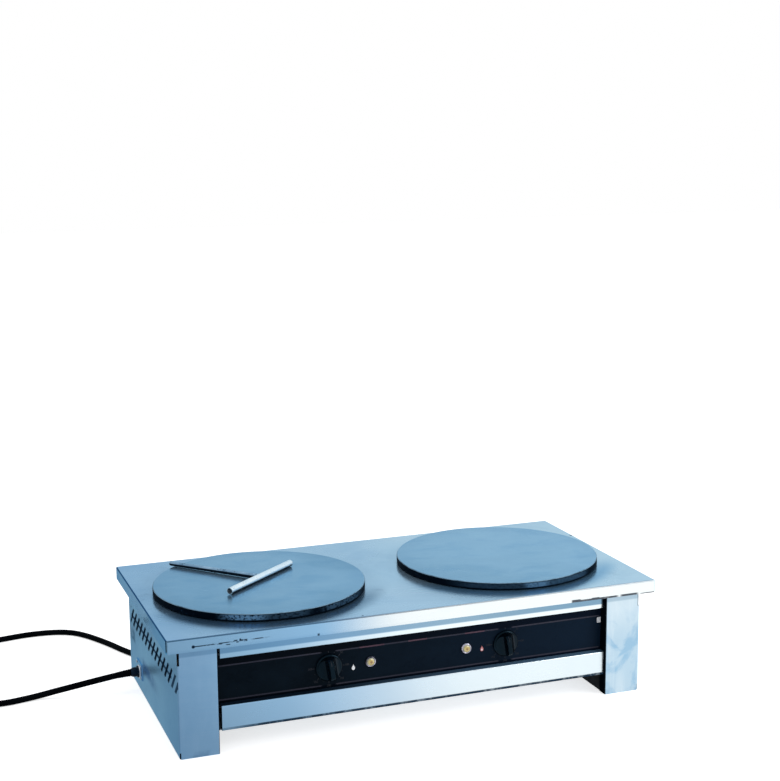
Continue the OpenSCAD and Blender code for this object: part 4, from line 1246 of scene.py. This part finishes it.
def glandShape(r, z, a):
    if 0.01 < z <= gland["hexTo"] and r > 10:
        third = math.pi / 3
        flat = gland["hexRadius"] * math.cos(third / 2)
        return min(r, flat / math.cos((a + third / 2) % third - third / 2))
    low, high = gland["fluted"]
    if low < z < high:
        return r - gland["fluteDepth"] * max(0.0, math.cos(gland["flutes"] * a)) ** 2
    return r


def makeGland():
    place = Matrix.Translation(gland["at"]) @ Matrix.Rotation(math.radians(-90), 4, "Y")
    bm = bmesh.new()
    turned(bm, gland["profile"], 96, place, glandShape)
    fit(asObject(bm, "gland_body", finish["glandBlack"]), "housing", "gland_black", "cable_gland")
    bm = bmesh.new()
    ringForm(bm, gland["collar"], 72, place)
    fit(asObject(bm, "gland_collar", finish["chrome"]), "housing", "chrome")


# Ribbed sleeve that tapers from the gland on to the lead, in mm
sleeve = {"from": (-0.472, 0.134, 0.040), "ribs": 7, "over": 1.25, "taper": 0.13, "groove": 0.55}


def makeSleeve():
    start = Vector(sleeve["from"])
    along = Vector(lead["exit"]) - start
    length = along.length / mm
    leadRadius = lead["diameter"] / 2 / mm
    step = (length - 2.2) / sleeve["ribs"]
    profile = [(5.0, -0.6), (7.4, 0.0), (7.4, 0.8)]
    for k in range(sleeve["ribs"]):
        r = leadRadius + sleeve["over"] - sleeve["taper"] * k
        low = r - sleeve["groove"]
        z = 0.8 + step * k
        rib = ((low, 0.10), (low, 0.38), (r, 0.50), (r, 0.85), (r - 0.2, 0.98))
        profile += [(q, z + share * step) for q, share in rib]
    profile += [(leadRadius + 0.15, length), (3.0, length)]
    bm = bmesh.new()
    turned(bm, profile, 40, Matrix.Translation(start) @ along.to_track_quat("Z", "Y").to_matrix().to_4x4())
    made = asObject(bm, "lead_sleeve", finish["cordRubber"], sharpOver=50)
    return fit(made, "housing", "rubber", "strain_relief")


makeGland()
leadSleeve = makeSleeve()
print("cable entry")

# Plug, in mm along its own axis: gripped shoulder, side grooves with earth clips
plug = {
    "at": (-0.232, 0.392, 0.0195),
    "profile": [(5.5, 0), (6.8, 0.2), (7.3, 6), (7.7, 12), (8.2, 20), (8.9, 25), (11.6, 28), (14.0, 32),
                (14.7, 36), (14.9, 42), (15.3, 47), (16.8, 51), (18.8, 54), (19.4, 56.5), (19.4, 63),
                (19.4, 72.2), (18.6, 73), (14.5, 73), (14.2, 72.4), (3.0, 72.4)],
    "grips": 14,
    "gripped": (32, 51),
    "gripDepth": 0.9,
    "groove": (2.7, 56.2, 16.9),       # half width, where it starts, radius of its floor
    "clip": [(58, 17.0), (60, 17.5), (64, 17.9), (68, 17.8), (71, 17.3), (72.3, 16.6)],
    "clipSection": [(-1.6, -0.4), (1.6, -0.4), (1.6, 0.0), (-1.6, 0.0)],
}


def plugShape(r, z, a):
    low, high = plug["gripped"]
    if low <= z <= high:
        return r - plug["gripDepth"] * max(0.0, math.cos(plug["grips"] * a)) ** 3
    if z == 12:
        return r - 0.5                 # waist of the relief
    half, start, floor = plug["groove"]
    if z > start and abs(math.sin(a) * r) < half:
        return min(r, floor)
    return r


def makePlug():
    place = Matrix.Translation(plug["at"]) @ Matrix.Rotation(math.radians(-90), 4, "X")
    bm = bmesh.new()
    turned(bm, plug["profile"], 168, place, plugShape)
    body = asObject(bm, "plug_moulded", finish["cordRubber"], sharpOver=40)
    fit(body, "housing", "rubber", "plug_body")
    bm = bmesh.new()
    for s in (-1, 1):
        skin(bm, [[place @ (Vector((s * (out + t), w, z)) * mm) for w, t in plug["clipSection"]]
                  for z, out in plug["clip"]])
    return body, fit(asObject(bm, "plug_earth_clips", finish["brass"]), "housing", "brass")


plugBody, plugClips = makePlug()
print("plug")

# Spreader: open tube dented and worn, and a rod welded to its middle, in mm
spreader = {
    "at": (-0.243, -0.005, 0.2478),
    "turn": 40.5,
    "length": 204.0,
    "outer": 6.5,
    "inner": 5.45,
    "ragged": 0.35,                    # unevenness of the cut ends
    "handleTurn": 131.5,
    "handleLength": 211.0,
    "handleRadius": 4.5,
    "weld": [(4.6, 4.4), (5.3, 5.6), (5.25, 6.5), (4.95, 7.6), (4.65, 8.8)],
    "weldEnd": 10.5,
    "tip": [(4.45, -3.0), (4.0, -1.2), (3.1, 0.3), (1.7, 1.2), (0.5, 1.35)],
    "droop": 2.0,
    "caked": 1.8,
}


def lying(turn, lean):
    return (Matrix.Translation(spreader["at"]) @ Matrix.Rotation(math.radians(turn), 4, "Z")
            @ Matrix.Rotation(math.radians(lean), 4, "Y"))


def makeBar():
    s = spreader
    place = lying(s["turn"], 90)
    half = s["length"] / 2 - 0.4
    count = 68
    spots = [-half + 2 * half * k / count for k in range(count + 1)]
    rings = []
    for r, line in ((s["outer"], spots), (s["inner"], spots[::-1])):
        for z in line:
            ring = []
            for a in around(36):
                spot = Vector((r * math.cos(a), r * math.sin(a), z))
                dent = noise.noise(spot * 0.09) * 0.16 + noise.noise(spot * 0.3) * 0.07 - 0.12
                end = 0
                if z in (spots[0], spots[-1]):
                    end = s["ragged"] * noise.noise(Vector((5 * math.cos(a), 5 * math.sin(a), z)))
                ring.append(spun(place, r + min(dent, 0), z + end, a))
            rings.append(ring)
    bm = bmesh.new()
    skin(bm, rings, loop=True)
    return asObject(bm, "spreader_tube", spreaderSteel, sharpOver=50)


def makeHandle():
    s = spreader
    r, long, start = s["handleRadius"], s["handleLength"], s["weldEnd"]
    place = lying(s["handleTurn"], 90 + math.degrees(math.asin(s["droop"] / long)))
    steps = 56
    shaft = [(r, start + (long - 14 - start) * k / steps) for k in range(steps + 1)]
    tip = [(q, long + z) for q, z in s["tip"]]

    # dents all along, a lumpy weld, and a crust on the upper side that thins towards the tip
    def worn(q, z, a):
        spot = Vector((q * math.cos(a), q * math.sin(a), z))
        dent = min(noise.noise(spot * 0.12) * 0.14 + noise.noise(spot * 0.4) * 0.06 - 0.08, 0)
        bead = noise.noise(spot * 0.7) * 0.25 if z < 9 else 0
        crusted = s["caked"] * max(0.0, math.cos(a)) ** 6 * (1 - z / long) if 9 < z < long - 4 else 0
        return q + dent + bead + crusted

    bm = bmesh.new()
    turned(bm, s["weld"] + shaft + tip, 32, place, worn)
    return asObject(bm, "spreader_rod", spreaderRod, sharpOver=50)


fit(makeBar(), "spreader", "spreader_steel", "spreader_bar")
fit(makeHandle(), "spreader", "spreader_rod", "spreader_handle")
print("spreader")

# Finish of each carried-over node; "left_" and "right_" are left out where both sides have the same
carried = [
    (steelTop, "top_panel"),
    (steelSide, "side_panel gland_plate"),
    (steelFront, "upper_rail lower_rail"),
    (steelRear, "rear_panel"),
    (panelBlack, "control_panel"),
    (iron["left"], "left_cooking_plate"),
    (iron["right"], "right_cooking_plate"),
    (zincSheet, "base_pan element_clamps heat_tray bearers"),
    # foot channels: painted shade
    (finish["soot"], "foot_channel"),
    (finish["sheath"], "element"),
    (finish["wool"], "insulation"),
    (finish["copper"], "capillary"),
    (finish["wire"], "wiring"),
    (finish["ceramic"], "thermostat terminal_block"),
    (finish["brass"], "lamp_lens earth_stud"),
    (finish["chrome"], "lamp_body plug_pins"),
    (finish["fastener"], "studs spacers stud_nuts knob_shaft rear_screws base_screws gland_screws"),
    (finish["knobBlack"], "knob"),
    (finish["glandBlack"], "cable_gland gland_locknut"),
    (finish["cordRubber"], "strain_relief plug_body power_cord cord_coil cord_tail"),
    (spreaderSteel, "spreader_bar"),
    (spreaderRod, "spreader_handle"),
]
finishOf = {name: material for material, names in carried for name in names.split()}
for name, piece in cad.items():
    part = name if name in finishOf else name.replace("left_", "").replace("right_", "")
    piece.data.materials.clear()
    piece.data.materials.append(finishOf[part])
print("finishes on the carried-over nodes")

# Floor: white to the camera, and to reflections paler towards the front right
stage = {
    "size": 14,
    "floor": (0.80, 0.81, 0.82),
    "lift": 0.66,
    "gloss": 0.75,
    "glossFrom": (-0.60, 0.50),
    "glossTo": (0.25, 1.42),
}


def makeStage():
    bm = bmesh.new()
    bmesh.ops.create_grid(bm, x_segments=1, y_segments=1, size=stage["size"])
    made, tree, shader = startMaterial("paleFloor", Roughness=0.9)
    shader.inputs["Base Color"].default_value = (*stage["floor"], 1)
    path = put(tree, "LightPath")
    seen = maths(tree, "MAXIMUM", path.outputs["Is Camera Ray"], path.outputs["Is Transmission Ray"])
    feed(tree, shader, Emission_Strength=product(tree, seen, stage["lift"]))
    shader.inputs["Emission Color"].default_value = (1, 1, 1, 1)
    x = axes(tree)[0]
    (x0, low), (x1, high) = stage["glossFrom"], stage["glossTo"]
    glow = put(tree, "Emission", {"Strength": span(tree, x, x0, x1, low, high, smooth=True)})
    share = product(tree, path.outputs["Is Glossy Ray"], stage["gloss"])
    mixed = put(tree, "MixShader", {0: share, 1: shader.outputs[0], 2: glow.outputs[0]})
    out = [node for node in tree.nodes if node.type == "OUTPUT_MATERIAL"][0]
    tree.links.new(mixed.outputs[0], out.inputs[0])
    floor = asObject(bm, "floor", made)


# Soft boxes: name, place, aim, size, watts
studio = {
    "world": 0.60,
    "glossFrom": (0.10, 0.76),
    "glossTo": (0.55, 0.98),
    "boxes": [
        ("keyRight", (2.0, -1.7, 1.5), (0.2, 0, 0.1), (1.3, 1.3), 26),
        ("overhead", (-0.2, 0.1, 2.4), (0, 0, 0.2), (1.6, 1.6), 18),
    ],
}


def makeWorld():
    world = bpy.data.worlds.new("studio")
    bpy.context.scene.world = world
    world.use_nodes = True
    tree = world.node_tree
    tree.nodes.clear()
    path = put(tree, "LightPath")
    seen = maths(tree, "MAXIMUM", path.outputs["Is Camera Ray"], path.outputs["Is Transmission Ray"])
    aim = put(tree, "SeparateXYZ", {0: put(tree, "TexCoord").outputs["Generated"]})
    (x0, low), (x1, high) = studio["glossFrom"], studio["glossTo"]
    shiny = span(tree, aim.outputs[0], x0, x1, low, high, smooth=True)
    level = mix(tree, path.outputs["Is Glossy Ray"], studio["world"], shiny)
    level = mix(tree, seen, level, 1.0)
    back = put(tree, "Background", {"Color": (1, 1, 1, 1), "Strength": level})
    out = put(tree, "OutputWorld")
    tree.links.new(back.outputs[0], out.inputs[0])


def makeLights():
    for name, place, aim, size, watts in studio["boxes"]:
        data = bpy.data.lights.new(name, "AREA")
        data.shape = "RECTANGLE"
        data.size, data.size_y = size
        data.energy = watts
        light = bpy.data.objects.new(name, data)
        light.location = place
        light.rotation_mode = "QUATERNION"
        light.rotation_quaternion = (Vector(place) - Vector(aim)).to_track_quat("Z", "Y")
        bpy.context.collection.objects.link(light)


makeStage()
makeWorld()
makeLights()
bpy.context.scene.view_settings.view_transform = "Standard"
print("stage and lights set")
